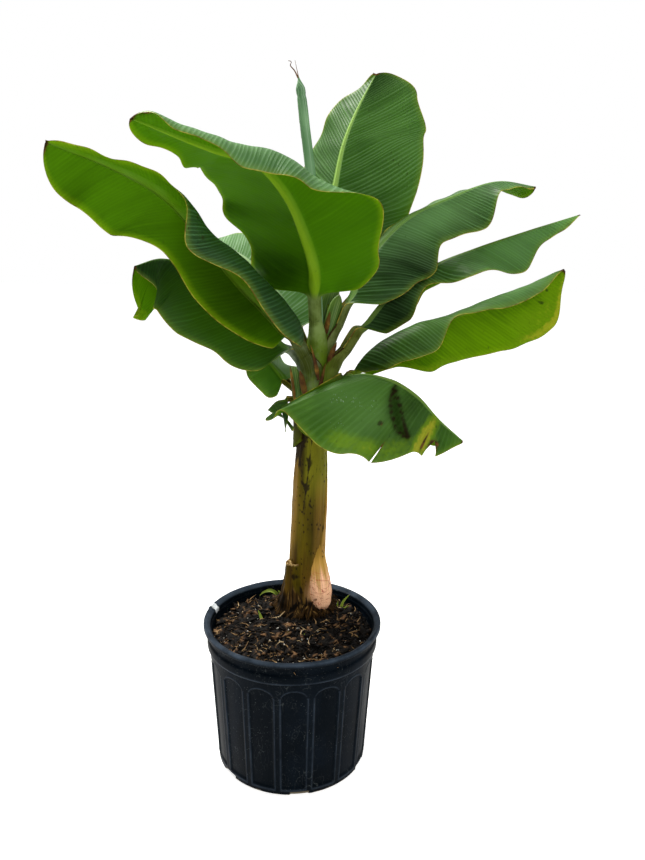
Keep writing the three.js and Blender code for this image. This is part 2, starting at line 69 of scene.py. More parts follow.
def paint(colour: Colour) -> tuple[float, float, float, float]:
    """Makes a screen colour of 0 to 255 the linear colour that a shader reads.

    Args:
        colour: red, green and blue as seen on a screen.

    Returns:
        Linear red, green, blue and full cover.
    """
    parts = [c / 255 for c in colour]
    linear = [c / 12.92 if c <= 0.04045 else ((c + 0.055) / 1.055) ** 2.4 for c in parts]
    return (linear[0], linear[1], linear[2], 1.0)


def ease(value: Array, low: float, high: float) -> Array:
    """Smooth step from 0 at low to 1 at high."""
    t = np.clip((np.asarray(value, float) - low) / (high - low), 0, 1)
    return t * t * (3 - 2 * t)


def hill(value: Array, middle: float, spread: float) -> Array:
    """Bell curve: 1 at the middle, and near 0 at twice the spread."""
    return np.exp(-(((value - middle) / spread) ** 2))


def stations(values: Sequence[float], u: Array) -> Array:
    """Smooth value between evenly spaced stations along a length.

    Args:
        values: the value at each station.
        u: shares of the length.

    Returns:
        The value at each share.
    """
    v = np.asarray(values, float)
    last = len(v) - 1
    x = np.clip(u, 0, 1) * last
    j = np.minimum(np.floor(x).astype(int), last - 1)
    s = ease(x - j, 0, 1)
    return v[j] * (1 - s) + v[j + 1] * s


def out(direction: Array, amount: Array) -> Array:
    """Steps of each amount in its row's direction."""
    return direction[:, None, :] * amount[..., None]


class SmoothCurve:
    """Smooth curve through points, read by the share of its chord length."""

    STEP = 1e-3

    def __init__(self, points: Sequence[Point]) -> None:
        """Works out the knots and slopes.

        Args:
            points: places that the curve passes through.
        """
        self.points = np.array(points, float)
        chord = np.linalg.norm(np.diff(self.points, axis=0), axis=1)
        lengths = np.concatenate([[0], np.cumsum(chord)])
        self.span = float(lengths[-1])
        self.knots = lengths / self.span
        gaps = np.diff(self.knots)
        secant = np.diff(self.points, axis=0) / gaps[:, None]
        a, b = gaps[:-1, None], gaps[1:, None]
        inner = (secant[:-1] * b + secant[1:] * a) / (a + b)
        self.slopes = np.vstack([secant[:1], inner, secant[-1:]])

    def at(self, u: Array) -> Array:
        """Points of the curve.

        Args:
            u: shares of the length.

        Returns:
            One point for each share.
        """
        s = np.clip(np.asarray(u, float), 0, 1)
        j = np.clip(np.searchsorted(self.knots, s, side="left") - 1, 0, len(self.knots) - 2)
        h = self.knots[j + 1] - self.knots[j]
        t = ((s - self.knots[j]) / h)[:, None]
        h = h[:, None]
        return (
            self.points[j] * (2 * t**3 - 3 * t**2 + 1)
            + self.slopes[j] * (t**3 - 2 * t**2 + t) * h
            + self.points[j + 1] * (3 * t**2 - 2 * t**3)
            + self.slopes[j + 1] * (t**3 - t**2) * h
        )

    def along(self, u: Array) -> Array:
        """Unit vectors along the curve, one for each share of its length."""
        ahead = self.at(np.asarray(u) + self.STEP) - self.at(np.asarray(u) - self.STEP)
        return ahead / np.linalg.norm(ahead, axis=1, keepdims=True)

    def frame(self, u: Array, face: Point) -> tuple[Array, Array, Array]:
        """Directions along the curve, out of its upper side, and to its right.

        Args:
            u: shares of the length.
            face: where the upper side looks, about.

        Returns:
            Three unit vectors for each share.
        """
        along = self.along(u)
        look = np.array(face, float)
        up = look - (along @ look)[:, None] * along
        up = up / np.linalg.norm(up, axis=1, keepdims=True)
        return along, up, np.cross(along, up)


def grid_faces(rows: int, columns: int, wrap: bool) -> Array:
    """Four-sided faces between rows of points.

    Args:
        rows: number of rows.
        columns: points in a row.
        wrap: whether a row closes on itself.

    Returns:
        Four point indices for each face.
    """
    r, c = np.meshgrid(np.arange(rows - 1), np.arange(columns if wrap else columns - 1), indexing="ij")
    a = r * columns + c
    b = r * columns + (c + 1) % columns
    return np.stack([a, b, b + columns, a + columns], axis=-1).reshape(-1, 4)


def linked(name: str, data: bpy.types.ID) -> bpy.types.Object:
    """Puts a new object in the scene.

    Args:
        name: its name.
        data: its mesh, light or camera.

    Returns:
        The object.
    """
    made = bpy.data.objects.new(name, data)
    bpy.context.scene.collection.objects.link(made)
    return made


def bare_mesh(name: str, points: Array, faces: Sequence[Sequence[int]]) -> bpy.types.Mesh:
    """Makes a mesh, in metres.

    Args:
        name: its name.
        points: its points in millimetres.
        faces: point indices of each face.

    Returns:
        The mesh.
    """
    mesh = bpy.data.meshes.new(name)
    mesh.from_pydata((np.asarray(points, float).reshape(-1, 3) * MM).tolist(), [], faces)
    mesh.update()
    return mesh


class Draft:
    """Points, faces and values of one piece while it is made."""

    def __init__(self) -> None:
        """Starts with nothing."""
        self.points: list[Array] = []
        self.faces: list[list[int]] = []
        self.slots: list[int] = []
        self.places: list[Array] = []
        self.values: dict[str, list[Array]] = {}
        self.count = 0

    def add(
        self,
        points: Array,
        faces: Sequence[Sequence[int]],
        slot: Union[int, Sequence[int]] = 0,
        places: Union[Array, None] = None,
        **values: Array,
    ) -> None:
        """Adds one closed shell, turned so that its faces point outwards.

        Args:
            points: places of its points.
            faces: point indices of each face, counted within this shell.
            slot: material slot of the shell, or one for each face.
            places: pattern place of each point.
            **values: a number for each point, under the name that a finish reads.
        """
        flat = np.asarray(points, float).reshape(-1, 3)
        loops = [list(map(int, f)) for f in faces]
        fans = np.array([(f[0], f[i], f[i + 1]) for f in loops for i in range(1, len(f) - 1)])
        corners = flat[fans]
        volume = np.einsum("ij,ij->i", corners[:, 0], np.cross(corners[:, 1], corners[:, 2])).sum()
        if volume < 0:
            loops = [f[::-1] for f in loops]
        self.faces += [[i + self.count for i in f] for f in loops]
        self.slots += [slot] * len(loops) if isinstance(slot, int) else [int(s) for s in slot]
        self.points.append(flat)
        blank = np.zeros((len(flat), 2))
        self.places.append(blank if places is None else np.asarray(places, float).reshape(-1, 2))
        for name in dict.fromkeys([*self.values, *values]):
            held = self.values.setdefault(name, [np.zeros(self.count)])
            held.append(np.broadcast_to(values.get(name, 0.0), np.shape(points)[:-1]).astype(float).ravel())
        self.count += len(flat)

    def piece(self, name: str, finishes: Sequence[bpy.types.Material]) -> bpy.types.Object:
        """Makes the piece, in metres.

        Args:
            name: the piece's name.
            finishes: its materials, in the order of their slots.

        Returns:
            The new object, with its place in its mesh.
        """
        mesh = bare_mesh(name, np.vstack(self.points), self.faces)
        for finish in finishes:
            mesh.materials.append(finish)
        mesh.polygons.foreach_set("material_index", self.slots)
        mesh.polygons.foreach_set("use_smooth", [True] * len(self.faces))
        for key, parts in self.values.items():
            layer = mesh.attributes.new(key, "FLOAT", "POINT")
            layer.data.foreach_set("value", np.concatenate(parts))
        corner = np.empty(len(mesh.loops), dtype=np.int32)
        mesh.loops.foreach_get("vertex_index", corner)
        layer = mesh.uv_layers.new(name=PATTERN)
        layer.data.foreach_set("uv", np.vstack(self.places)[corner].ravel())
        mesh.update()
        return linked(name, mesh)


def loft(
    draft: Draft, rings: Array, slot: int = 0, places: Union[Array, None] = None, **values: Value
) -> None:
    """Adds a closed loft through rings of equal size, with a flat cap at each end.

    Args:
        draft: the piece that takes it.
        rings: rows of points, each row one ring.
        slot: material slot.
        places: pattern place of each point.
        **values: numbers for the points, under the name that a finish reads.
    """
    rows, columns = rings.shape[:2]
    faces = [list(f) for f in grid_faces(rows, columns, True)]
    faces.append(list(range(columns))[::-1])
    faces.append(list(range((rows - 1) * columns, rows * columns)))
    draft.add(rings, faces, slot, places, **values)


def round_rings(
    curve: SmoothCurve, u: Array, radius: Array, sides: int, face: Point = (0.3, -1.0, 0.2)
) -> Array:
    """Round rings on a curve.

    Args:
        curve: the path.
        u: shares of its length.
        radius: radius at each share, or at each share and side.
        sides: points in a ring.
        face: where the first frame direction looks, about.

    Returns:
        Rows of ring points.
    """
    _, up, right = curve.frame(u, face)
    angle = np.linspace(0, 2 * math.pi, sides, endpoint=False)
    reach = np.asarray(radius, float).reshape(len(u), -1, 1)
    spokes = right[:, None, :] * np.cos(angle)[None, :, None] + up[:, None, :] * np.sin(angle)[None, :, None]
    return curve.at(u)[:, None, :] + spokes * reach


def roughened(points: Array, size: float, depth: float, seed: float = 0.0) -> Array:
    """Even lumps for points, the same on every run.

    Args:
        points: places in millimetres.
        size: size of the lumps.
        depth: how far a lump stands out.
        seed: offset that gives other lumps.

    Returns:
        One height for each point.
    """
    flat = np.asarray(points, float).reshape(-1, 3) / size + seed
    heights = [noise.fractal(Vector(p), 0.9, 2.1, 3) for p in flat]
    return np.array(heights).reshape(points.shape[:-1]) * depth


class Steps:
    """Node tree that is built from small steps."""

    def __init__(self, tree: bpy.types.NodeTree) -> None:
        """Takes an empty tree."""
        self.tree = tree

    def node(self, kind: str, inputs: dict[Union[str, int], object], **settings: object) -> bpy.types.Node:
        """Adds a node.

        Args:
            kind: its type.
            inputs: what its inputs are linked or set to, by name or number.
            **settings: its own settings by name.

        Returns:
            The node.
        """
        step = self.tree.nodes.new(kind)
        for key, value in settings.items():
            setattr(step, key, value)
        for key, value in inputs.items():
            if isinstance(value, bpy.types.NodeSocket):
                self.tree.links.new(value, step.inputs[key])
            else:
                step.inputs[key].default_value = value
        return step


class Graph(Steps):
    """Node tree of one material."""

    def __init__(self, name: str) -> None:
        """Starts an empty tree.

        Args:
            name: the material's name.
        """
        self.material = bpy.data.materials.new(name)
        self.material.use_nodes = True
        super().__init__(self.material.node_tree)
        self.tree.nodes.clear()

    def place(self, scale: Point = (1.0, 1.0, 1.0), turn: Point = (0.0, 0.0, 0.0)) -> Socket:
        """Object coordinates, times the scale and turned by degrees about each axis."""
        return self.mapped(self.node("ShaderNodeTexCoord", {}).outputs["Object"], scale, turn)

    def pattern(self, first: float = 1.0, second: float = 1.0) -> Socket:
        """The piece's own pattern places, with a factor on each of their two numbers."""
        source = self.node("ShaderNodeUVMap", {}, uv_map=PATTERN).outputs["UV"]
        return self.mapped(source, (first, second, 1.0), (0.0, 0.0, 0.0))

    def mapped(self, source: Socket, scale: Point, turn: Point) -> Socket:
        """A place through a mapping step, with a factor and degrees for each axis."""
        inputs = {"Vector": source, "Scale": scale, "Rotation": [math.radians(t) for t in turn]}
        return self.node("ShaderNodeMapping", inputs).outputs["Vector"]

    def value(self, name: str) -> Socket:
        """A number that the mesh holds for each point."""
        return self.node("ShaderNodeAttribute", {}, attribute_name=name).outputs["Fac"]

    def cloud(self, place: Socket, scale: float, detail: float = 3.0, warp: float = 0.0) -> Socket:
        """Soft noise from 0 to 1: steps for each unit, finer layers, and how far it is stirred."""
        inputs = {"Vector": place, "Scale": scale, "Detail": detail, "Distortion": warp}
        return self.node("ShaderNodeTexNoise", inputs).outputs["Fac"]

    def cells(self, place: Socket, scale: float) -> Socket:
        """Distance to the nearest of scattered points."""
        return self.node("ShaderNodeTexVoronoi", {"Vector": place, "Scale": scale}).outputs["Distance"]

    def math(self, how: str, a: Value, b: Value = 0.0) -> Socket:
        """One sum of two values."""
        return self.node("ShaderNodeMath", {0: a, 1: b}, operation=how).outputs[0]

    def times(self, a: Value, b: Value) -> Socket:
        """Product of two values."""
        return self.math("MULTIPLY", a, b)

    def plus(self, a: Value, b: Value) -> Socket:
        """Two values added up."""
        return self.math("ADD", a, b)

    def minus(self, a: Value, b: Value) -> Socket:
        """One value less another."""
        return self.math("SUBTRACT", a, b)

    def band(self, value: Socket, low: float, high: float) -> Socket:
        """Smooth step of a value: 0 at low and 1 at high."""
        inputs = {"Value": value, "From Min": low, "From Max": high}
        return self.node("ShaderNodeMapRange", inputs, interpolation_type="SMOOTHSTEP").outputs["Result"]

    def spread(self, value: Socket, low: float, high: float) -> Socket:
        """Straight line from low at 0 to high at 1."""
        inputs = {"Value": value, "To Min": low, "To Max": high}
        return self.node("ShaderNodeMapRange", inputs).outputs["Result"]

    def mix(self, share: Value, a: object, b: object, most: float = 1.0) -> Socket:
        """Mix of two colours.

        Args:
            share: how much of b shows.
            a: first colour, a socket or 0 to 255.
            b: second colour, a socket or 0 to 255.
            most: how much of b shows where the share is 1.

        Returns:
            The mixed colour.
        """
        colours = [paint(c) if isinstance(c, tuple) else c for c in (a, b)]
        shown = share if most == 1.0 else self.times(share, most)
        inputs = {0: shown, 6: colours[0], 7: colours[1]}
        return self.node("ShaderNodeMix", inputs, data_type="RGBA").outputs[2]

    def finish(
        self,
        colour: Socket,
        rough: Socket,
        height: Socket,
        relief: float,
        gloss: Value = 0.3,
        through: Union[Socket, None] = None,
        share: float = 0.0,
        glow: float = 0.0,
    ) -> bpy.types.Material:
        """Joins the steps to a surface.

        Args:
            colour: its colour.
            rough: its roughness.
            height: its relief, from 0 to 1.
            relief: depth of the relief in millimetres.
            gloss: specular level.
            through: colour of the light that shines through it, if any does.
            share: how much of it shines through.
            glow: how strongly it shines by itself.

        Returns:
            The material.
        """
        bump = self.node("ShaderNodeBump", {"Height": height, "Distance": relief * MM})
        surface = self.node("ShaderNodeBsdfPrincipled", {
            "Base Color": colour,
            "Roughness": rough,
            "Normal": bump.outputs["Normal"],
            "Specular IOR Level": gloss,
            "Emission Strength": glow,
        }).outputs[0]
        if through is not None:
            passed = self.node("ShaderNodeBsdfTranslucent", {"Color": through}).outputs[0]
            surface = self.node("ShaderNodeMixShader", {0: share, 1: surface, 2: passed}).outputs[0]
        self.node("ShaderNodeOutputMaterial", {"Surface": surface})
        return self.material


class Side(Enum):
    """The two sides of a blade."""

    UPPER = "upper"
    UNDER = "under"


@dataclass(frozen=True)
class BladeFinish:
    """Living leaf: veins across the blade, a fleshy rib and stalk, a thin dry margin, stains, and painted
    light and shade.

    The mesh gives the pattern place (metres along, metres across), and the numbers edge and rib
    (millimetres in from the margin, and out from the rib), open (0 on the stalk, 1 on the blade),
    dry, yellow, dark and pale (stains), lit and dim (painted light and painted shade) and margin (width of
    the margin's line).
    """

    deep: Colour
    light: Colour
    vein: Colour
    stalk: Colour
    stalk_shade: Colour
    rib: Colour
    glow: Colour
    vein_show: float = 0.5
    share: float = 0.35
    gloss: float = 0.25
    rough: float = 0.42
    margin: Colour = (176, 160, 60)
    burnt: Colour = (110, 70, 28)
    husk: Colour = (58, 32, 14)
    rim: Colour = (120, 146, 44)
    rim_show: float = 0.3
    pitch: float = 7.0
    relief: float = 0.55
    stalk_glow: Colour = (60, 70, 16)
    # Colour of the light through the blade where dim paints shade.
    dim_glow: Colour = (8, 20, 2)
    dry_glow: Colour = (40, 20, 4)
    speck: Colour = (30, 18, 8)
    turning: Colour = (102, 134, 10)
    turned: Colour = (172, 166, 40)
    dot: Colour = (24, 22, 8)
    fleck: Colour = (170, 190, 160)
    scorched: Colour = (44, 24, 10)
    withered: Colour = (104, 68, 32)
    dead: Colour = (30, 20, 10)

    def material(self, name: str) -> bpy.types.Material:
        """Builds the finish.

        Args:
            name: the material's name.

        Returns:
            The material.
        """
        g = Graph(name)
        blade, veins = self.blade(g)
        stalk, fibres = self.stalk_colour(g)
        ribbed = g.band(g.value("rib"), 0.8, -1.2)
        stem = g.math("MAXIMUM", ribbed, g.minus(1.0, g.value("open")))
        rib = g.mix(g.band(g.value("rib"), -3.6, -0.6), self.rib, self.vein, 0.55)
        stalk = g.mix(g.value("open"), stalk, rib, 0.9)
        colour = self.marked(g, g.mix(stem, blade, stalk))
        height = g.mix(stem, veins, fibres)
        rough = g.spread(g.cloud(g.place(), 40.0), self.rough - 0.08, self.rough + 0.14)
        rough = g.plus(rough, g.times(g.value("dry"), 0.35))
        through = g.mix(g.value("open"), self.stalk_glow, self.glow)
        # Painted shade: where dim is set, the light through the blade is darkened and the gloss is lowered.
        through = g.mix(g.value("dim"), through, self.dim_glow, 0.85)
        through = g.mix(g.value("dry"), through, self.dry_glow)
        gloss = g.times(g.minus(1.0, g.times(g.value("dim"), 0.85)), self.gloss)
        return g.finish(colour, rough, height, self.relief, gloss, through, self.share)

    def blade(self, g: Graph) -> tuple[Socket, Socket]:
        """Colour and relief between the veins.

        Args:
            g: the tree.

        Returns:
            The colour and the height.
        """
        along = g.node("ShaderNodeSeparateXYZ", {0: g.pattern()})
        stir = g.cloud(g.pattern(26.0, 5.0), 1.0, 2.0)
        turns = g.times(along.outputs[0], 2 * math.pi / (self.pitch * MM))
        wave = g.math("SINE", g.plus(turns, g.times(stir, 16.0)))
        streak = g.cloud(g.pattern(420.0, 4.5), 1.0, 3.0)
        broad = g.cloud(g.pattern(75.0, 2.4), 1.0, 2.0)
        patch = g.cloud(g.place(), 6.0, 3.0, 0.4)
        tone = g.plus(g.times(broad, 0.3), g.times(patch, 0.8))
        base = g.mix(g.band(tone, 0.4, 0.7), self.deep, self.light)
        base = g.mix(g.band(streak, 0.44, 0.7), base, self.vein, 0.2)
        line = g.times(g.band(wave, 0.4, 1.0), self.vein_show)
        line = g.times(line, g.spread(g.band(broad, 0.3, 0.7), 0.4, 1.3))
        base = g.mix(line, base, self.vein)
        base = g.mix(g.band(wave, -0.1, -1.0), base, self.deep, 0.35)
        # Painted light where lit is set (toward the vein colour), and painted shade where dim is set (toward
        # half the deep green).
        base = g.mix(g.value("lit"), base, self.vein, 0.6)
        base = g.mix(g.value("dim"), base, tuple(c // 2 for c in self.deep), 0.7)
        base = g.mix(g.band(g.value("edge"), 15.0, 1.0), base, self.rim, self.rim_show)
        return base, g.plus(g.times(wave, 0.3), g.times(streak, 0.5))

    def stalk_colour(self, g: Graph) -> tuple[Socket, Socket]:
        """Colour and relief of the rib, the stalk and the sheath.

        Args:
            g: the tree.

        Returns:
            The colour and the height.
        """
        fibre = g.cloud(g.pattern(14.0, 420.0), 1.0, 3.0)
        cloud = g.cloud(g.place(), 28.0, 3.0)
        base = g.mix(g.band(cloud, 0.35, 0.68), self.stalk_shade, self.stalk)
        base = g.mix(g.band(fibre, 0.45, 0.72), base, self.stalk, 0.35)
        speck = g.band(g.cells(g.place((1.0, 1.0, 0.55)), 165.0), 0.2, 0.1)
        rare = g.band(g.cloud(g.place(), 46.0), 0.56, 0.66)
        low = g.minus(1.0, g.value("open"))
        speck = g.times(g.times(speck, rare), low)
        return g.mix(speck, base, self.speck, 0.85), fibre

    def marked(self, g: Graph, colour: Socket) -> Socket:
        """Lays the margin's line and the stains over a colour.

        Args:
            g: the tree.
            colour: the clean colour.

        Returns:
            The stained colour.
        """
        fray = g.spread(g.cloud(g.place(), 260.0, 2.0), -0.9, 0.9)
        reach = g.minus(g.plus(g.value("edge"), fray), g.value("margin"))
        line = g.mix(g.band(g.cloud(g.place(), 55.0), 0.45, 0.62), self.margin, self.burnt)
        line = g.mix(g.band(g.value("margin"), 1.7, 2.4), line, self.husk)
        colour = g.mix(g.band(reach, 0.5, -0.5), colour, line, 0.9)
        grain = g.cloud(g.place(), 150.0, 4.0)
        yellow = g.times(g.value("yellow"), g.spread(grain, 0.4, 1.6))
        colour = g.mix(g.band(yellow, 0.2, 0.7), colour, self.turning, 0.75)
        colour = g.mix(g.band(yellow, 0.7, 1.3), colour, self.turned, 0.7)
        dot = g.band(g.cells(g.place((1.0, 1.0, 0.6)), 80.0), 0.15, 0.06)
        dot = g.times(dot, g.band(g.cloud(g.place(), 17.0), 0.52, 0.62))
        colour = g.mix(dot, colour, self.dot, 0.75)
        fleck = g.band(g.cells(g.place((1.0, 1.0, 0.7)), 260.0), 0.26, 0.1)
        often = g.times(g.plus(g.value("pale"), 0.16), g.cloud(g.place(), 44.0, 4.0, 0.6))
        fleck = g.times(fleck, g.band(often, 0.29, 0.48))
        colour = g.mix(fleck, colour, self.fleck, 0.8)
        dry = g.band(g.times(g.value("dry"), g.spread(grain, 0.4, 1.6)), 0.3, 0.6)
        colour = g.mix(dry, colour, g.mix(g.band(grain, 0.4, 0.62), self.scorched, self.withered))
        dark = g.band(g.times(g.value("dark"), g.spread(grain, 0.5, 1.5)), 0.3, 0.7)
        return g.mix(dark, colour, self.dead, 0.9)


@dataclass(frozen=True)
class TrunkFinish:
    """Rolled leaf sheaths of the stem: olive, yellow and tan strips with dark blotches.

    The mesh gives the tan mask (0 olive to 1 tan: partly the sheaths' own tan and partly painted light
    on the right side), lime, pink, blot (dark stains), root (fibrous foot) and cut (a pale cut end), and
    the pattern place (metres round, metres up).
    """

    olive: Colour = (40, 32, 1)
    yellow: Colour = (88, 76, 4)
    # Tan of the sheaths, also used for the painted light on the stem's right side.
    tan: Colour = (136, 106, 36)
    blush: Colour = (168, 124, 56)
    pink: Colour = (255, 200, 158)
    ruddy: Colour = (98, 62, 24)
    lime: Colour = (122, 122, 22)
    golden: Colour = (196, 152, 66)
    fibre: Colour = (50, 36, 6)
    blotch: Colour = (24, 16, 5)
    speck: Colour = (24, 14, 5)
    crease: Colour = (176, 70, 50)
    foot: tuple[Colour, Colour, Colour] = ((20, 12, 5), (74, 52, 22), (12, 8, 4))
    thread: Colour = (136, 106, 56)
    end: tuple[Colour, Colour] = ((172, 146, 96), (92, 66, 34))

    def material(self, name: str) -> bpy.types.Material:
        """Builds the finish.

        Args:
            name: the material's name.

        Returns:
            The material.
        """
        g = Graph(name)
        strip = g.cloud(g.pattern(26.0, 3.2), 1.0, 4.0, 0.5)
        fibre = g.cloud(g.pattern(420.0, 9.0), 1.0, 3.0)
        blotch = g.cloud(g.pattern(34.0, 20.0), 1.0, 5.0, 1.2)
        base = g.mix(g.band(strip, 0.34, 0.64), self.olive, self.yellow)
        ruddy = g.band(g.cloud(g.pattern(18.0, 2.4), 1.0, 3.0), 0.46, 0.66)
        base = g.mix(ruddy, base, self.ruddy, 0.6)
        pale = g.mix(g.band(strip, 0.35, 0.66), self.tan, self.blush)
        # Tan mask: partly the sheaths' own tan, partly painted light on the right side.
        tan = g.value("tan")
        base = g.mix(g.band(tan, 0.1, 0.9), base, pale)
        base = g.mix(g.times(g.value("lime"), g.spread(strip, 0.3, 1.1)), base, self.lime)
        streak = g.spread(g.cloud(g.pattern(120.0, 9.0), 1.0, 3.0), -0.4, 2.4)
        rosy = g.times(g.value("pink"), streak)
        base = g.mix(g.band(rosy, 0.1, 1.0), base, self.pink)
        golden = g.times(g.band(rosy, 0.02, 0.3), g.band(rosy, 1.1, 0.3))
        golden = g.times(golden, tan)
        base = g.mix(g.times(golden, g.spread(strip, 0.1, 1.3)), base, self.golden)
        base = g.mix(g.band(fibre, 0.48, 0.7), base, self.fibre, 0.25)
        shade = g.plus(blotch, g.times(g.value("blot"), 0.3))
        base = g.mix(g.band(shade, 0.58, 0.7), base, self.blotch, 0.9)
        speck = g.band(g.cells(g.place((1.0, 1.0, 0.6)), 150.0), 0.34, 0.16)
        speck = g.times(speck, g.band(g.cloud(g.place(), 24.0), 0.5, 0.58))
        base = g.mix(speck, base, self.speck, 0.85)
        bend = g.cloud(g.place((0.5, 0.5, 1.6), (24.0, 30.0, 0.0)), 62.0, 2.0, 0.8)
        crease = g.band(g.math("ABSOLUTE", g.minus(bend, 0.5)), 0.022, 0.004)
        crease = g.times(crease, g.band(g.value("pink"), 0.35, 0.8))
        base = g.mix(crease, base, self.crease, 0.75)
        grain = g.cloud(g.place(), 240.0, 4.0)
        foot = g.mix(g.band(fibre, 0.4, 0.6), self.foot[0], self.foot[1])
        thread = g.band(g.cloud(g.pattern(260.0, 30.0), 1.0), 0.56, 0.66)
        foot = g.mix(thread, foot, self.thread, 0.8)
        foot = g.mix(g.band(blotch, 0.5, 0.62), foot, self.foot[2])
        base = g.mix(g.band(g.value("root"), 0.25, 0.75), base, foot)
        base = g.mix(g.value("cut"), base, g.mix(g.band(grain, 0.4, 0.6), *self.end))
        rough = g.spread(grain, 0.45, 0.72)
        height = g.plus(g.times(fibre, 0.6), g.times(grain, 0.4))
        return g.finish(base, rough, height, 1.0, 0.06)


@dataclass(frozen=True)
class PotFinish:
    """Moulded blue-black plastic, dusty and scratched, with worn dirt at the foot and a painted sheen on the
    lip, the collar and the panel edges.
    """

    body: Colour = (1, 6, 12)
    haze: Colour = (6, 14, 22)
    dust: Colour = (92, 98, 98)
    dirt: Colour = (128, 118, 98)
    # Colour of the painted sheen.
    sheen_highlight: Colour = (72, 84, 98)
    scratches: tuple[tuple[float, float], ...] = ((32.0, 0.5), (55.0, 0.52), (90.0, 0.54))

    def material(self, name: str) -> bpy.types.Material:
        """Builds the finish.

        Args:
            name: the material's name.

        Returns:
            The material.
        """
        g = Graph(name)
        haze = g.cloud(g.place((1.0, 1.0, 0.5)), 14.0, 4.0, 0.6)
        base = g.mix(g.band(haze, 0.4, 0.75), self.body, self.haze)
        fleck = g.band(g.cells(g.place((1.0, 1.0, 0.7)), 240.0), 0.16, 0.06)
        fleck = g.times(fleck, g.band(g.cloud(g.place(), 24.0, 3.0), 0.44, 0.58))
        fine = g.band(g.cloud(g.place(), 620.0, 2.0), 0.64, 0.76)
        base = g.mix(fine, base, self.dust, 0.1)
        base = g.mix(fleck, base, self.dust, 0.6)
        for scale, often in self.scratches:
            bent = g.math("ABSOLUTE", g.minus(g.cloud(g.place((1.0, 1.0, 0.6)), scale, 1.0, 1.4), 0.5))
            seen = g.band(g.cloud(g.place(), scale * 0.6), often, often + 0.1)
            base = g.mix(g.times(g.band(bent, 0.007, 0.002), seen), base, self.dust, 0.2)
        wear = g.times(g.value("wear"), g.spread(g.cloud(g.place(), 60.0, 4.0), 0.2, 1.5))
        base = g.mix(g.band(wear, 0.6, 0.9), base, self.dirt, 0.7)
        # Painted sheen in patches on the lip, the collar and the panel edges.
        sheen_highlight = g.times(g.value("painted_sheen"), g.spread(g.cloud(g.place(), 30.0, 4.0), -0.3, 1.9))
        base = g.mix(sheen_highlight, base, self.sheen_highlight, 0.6)
        rough = g.spread(haze, 0.34, 0.6)
        height = g.plus(g.times(g.cloud(g.place(), 300.0), 0.4), haze)
        return g.finish(base, rough, height, 0.5, 0.025)


@dataclass(frozen=True)
class GrainFinish:
    """Bits that differ from one to the next: soil, bark, fibre or perlite."""

    dark: Colour
    middle: Colour
    light: Colour
    patch: float = 60.0
    grain: float = 700.0
    relief: float = 0.6
    rough: float = 0.85

    def material(self, name: str) -> bpy.types.Material:
        """Builds the finish.

        Args:
            name: the material's name.

        Returns:
            The material.
        """
        g = Graph(name)
        patch = g.cloud(g.place(), self.patch, 2.0)
        grain = g.cloud(g.place(), self.grain, 4.0)
        base = g.mix(g.band(patch, 0.36, 0.52), self.dark, self.middle)
        base = g.mix(g.band(patch, 0.54, 0.68), base, self.light)
        base = g.mix(g.band(grain, 0.5, 0.7), base, self.dark, 0.35)
        rough = g.spread(grain, self.rough - 0.15, min(self.rough + 0.1, 1.0))
        return g.finish(base, rough, grain, self.relief, 0.1)


@dataclass(frozen=True)
class ShootFinish:
    """Smooth young growth with stripes along it, for the rolled leaf and the sprouts."""

    pale: Colour
    deep: Colour
    stripe: Colour
    stripes: float = 320.0
    show: float = 0.5
    dry: Colour = (122, 84, 44)
    husk: Colour = (64, 40, 20)

    def material(self, name: str) -> bpy.types.Material:
        """Builds the finish.

        Args:
            name: the material's name.

        Returns:
            The material.
        """
        g = Graph(name)
        line = g.cloud(g.pattern(self.stripes, 3.0), 1.0, 3.0)
        patch = g.cloud(g.pattern(14.0, 9.0), 1.0, 2.0)
        base = g.mix(g.band(patch, 0.35, 0.68), self.deep, self.pale)
        base = g.mix(g.band(line, 0.48, 0.66), base, self.stripe, self.show)
        grain = g.cloud(g.place(), 220.0, 3.0)
        dry = g.band(g.plus(g.value("dry"), g.spread(grain, -0.25, 0.25)), 0.35, 0.65)
        base = g.mix(dry, base, g.mix(g.band(grain, 0.4, 0.6), self.dry, self.husk))
        rough = g.spread(grain, 0.34, 0.55)
        return g.finish(base, rough, line, 0.4, 0.3)


@dataclass(frozen=True)
class PaperFinish:
    """Weathered scrap of pale tape."""

    pale: Colour = (206, 212, 216)
    stain: Colour = (148, 150, 146)

    def material(self, name: str) -> bpy.types.Material:
        """Builds the finish.

        Args:
            name: the material's name.

        Returns:
            The material.
        """
        g = Graph(name)
        stain = g.cloud(g.place(), 120.0, 4.0, 0.6)
        weave = g.cloud(g.place((1.0, 1.0, 3.0)), 700.0, 2.0)
        base = g.mix(g.band(stain, 0.42, 0.7), self.pale, self.stain)
        return g.finish(base, g.spread(stain, 0.45, 0.7), weave, 0.3, 0.4)


# dry, yellow, dark and pale are stains; lit is painted light and dim is painted shade.
STAIN_AND_LIGHT_KINDS = ("dry", "yellow", "dark", "pale", "lit", "dim")
Rows = dict[str, Array]


@dataclass(frozen=True)
class Tear:
    """Split of a blade along its veins: its place, half its span, and its share of the half's width."""

    place: float
    span: float
    depth: float


@dataclass(frozen=True)
class StainOrLight:
    """Stain, painted light or painted shade on a blade: share along the leaf, share across (+ is right), and
    size in millimetres.
    """

    kind: str
    along: float
    across: float
    length: float
    width: float
    strength: float = 1.0


@dataclass(frozen=True)
class Half:
    """One half of a blade, from the midrib to the margin.

    Stations along the leaf give the rise in degrees toward the upper side, the bend from midrib to
    margin in degrees, the share of the width, and the lean of the veins in degrees. The wave is
    the ripple of the margin: degrees, waves along the leaf, and the phase in turns.
    """

    width: float
    wave: tuple[float, float, float]
    rise: tuple[float, ...]
    bend: tuple[float, ...]
    share: tuple[float, ...]
    lean: tuple[float, ...]
    tears: tuple[Tear, ...] = ()


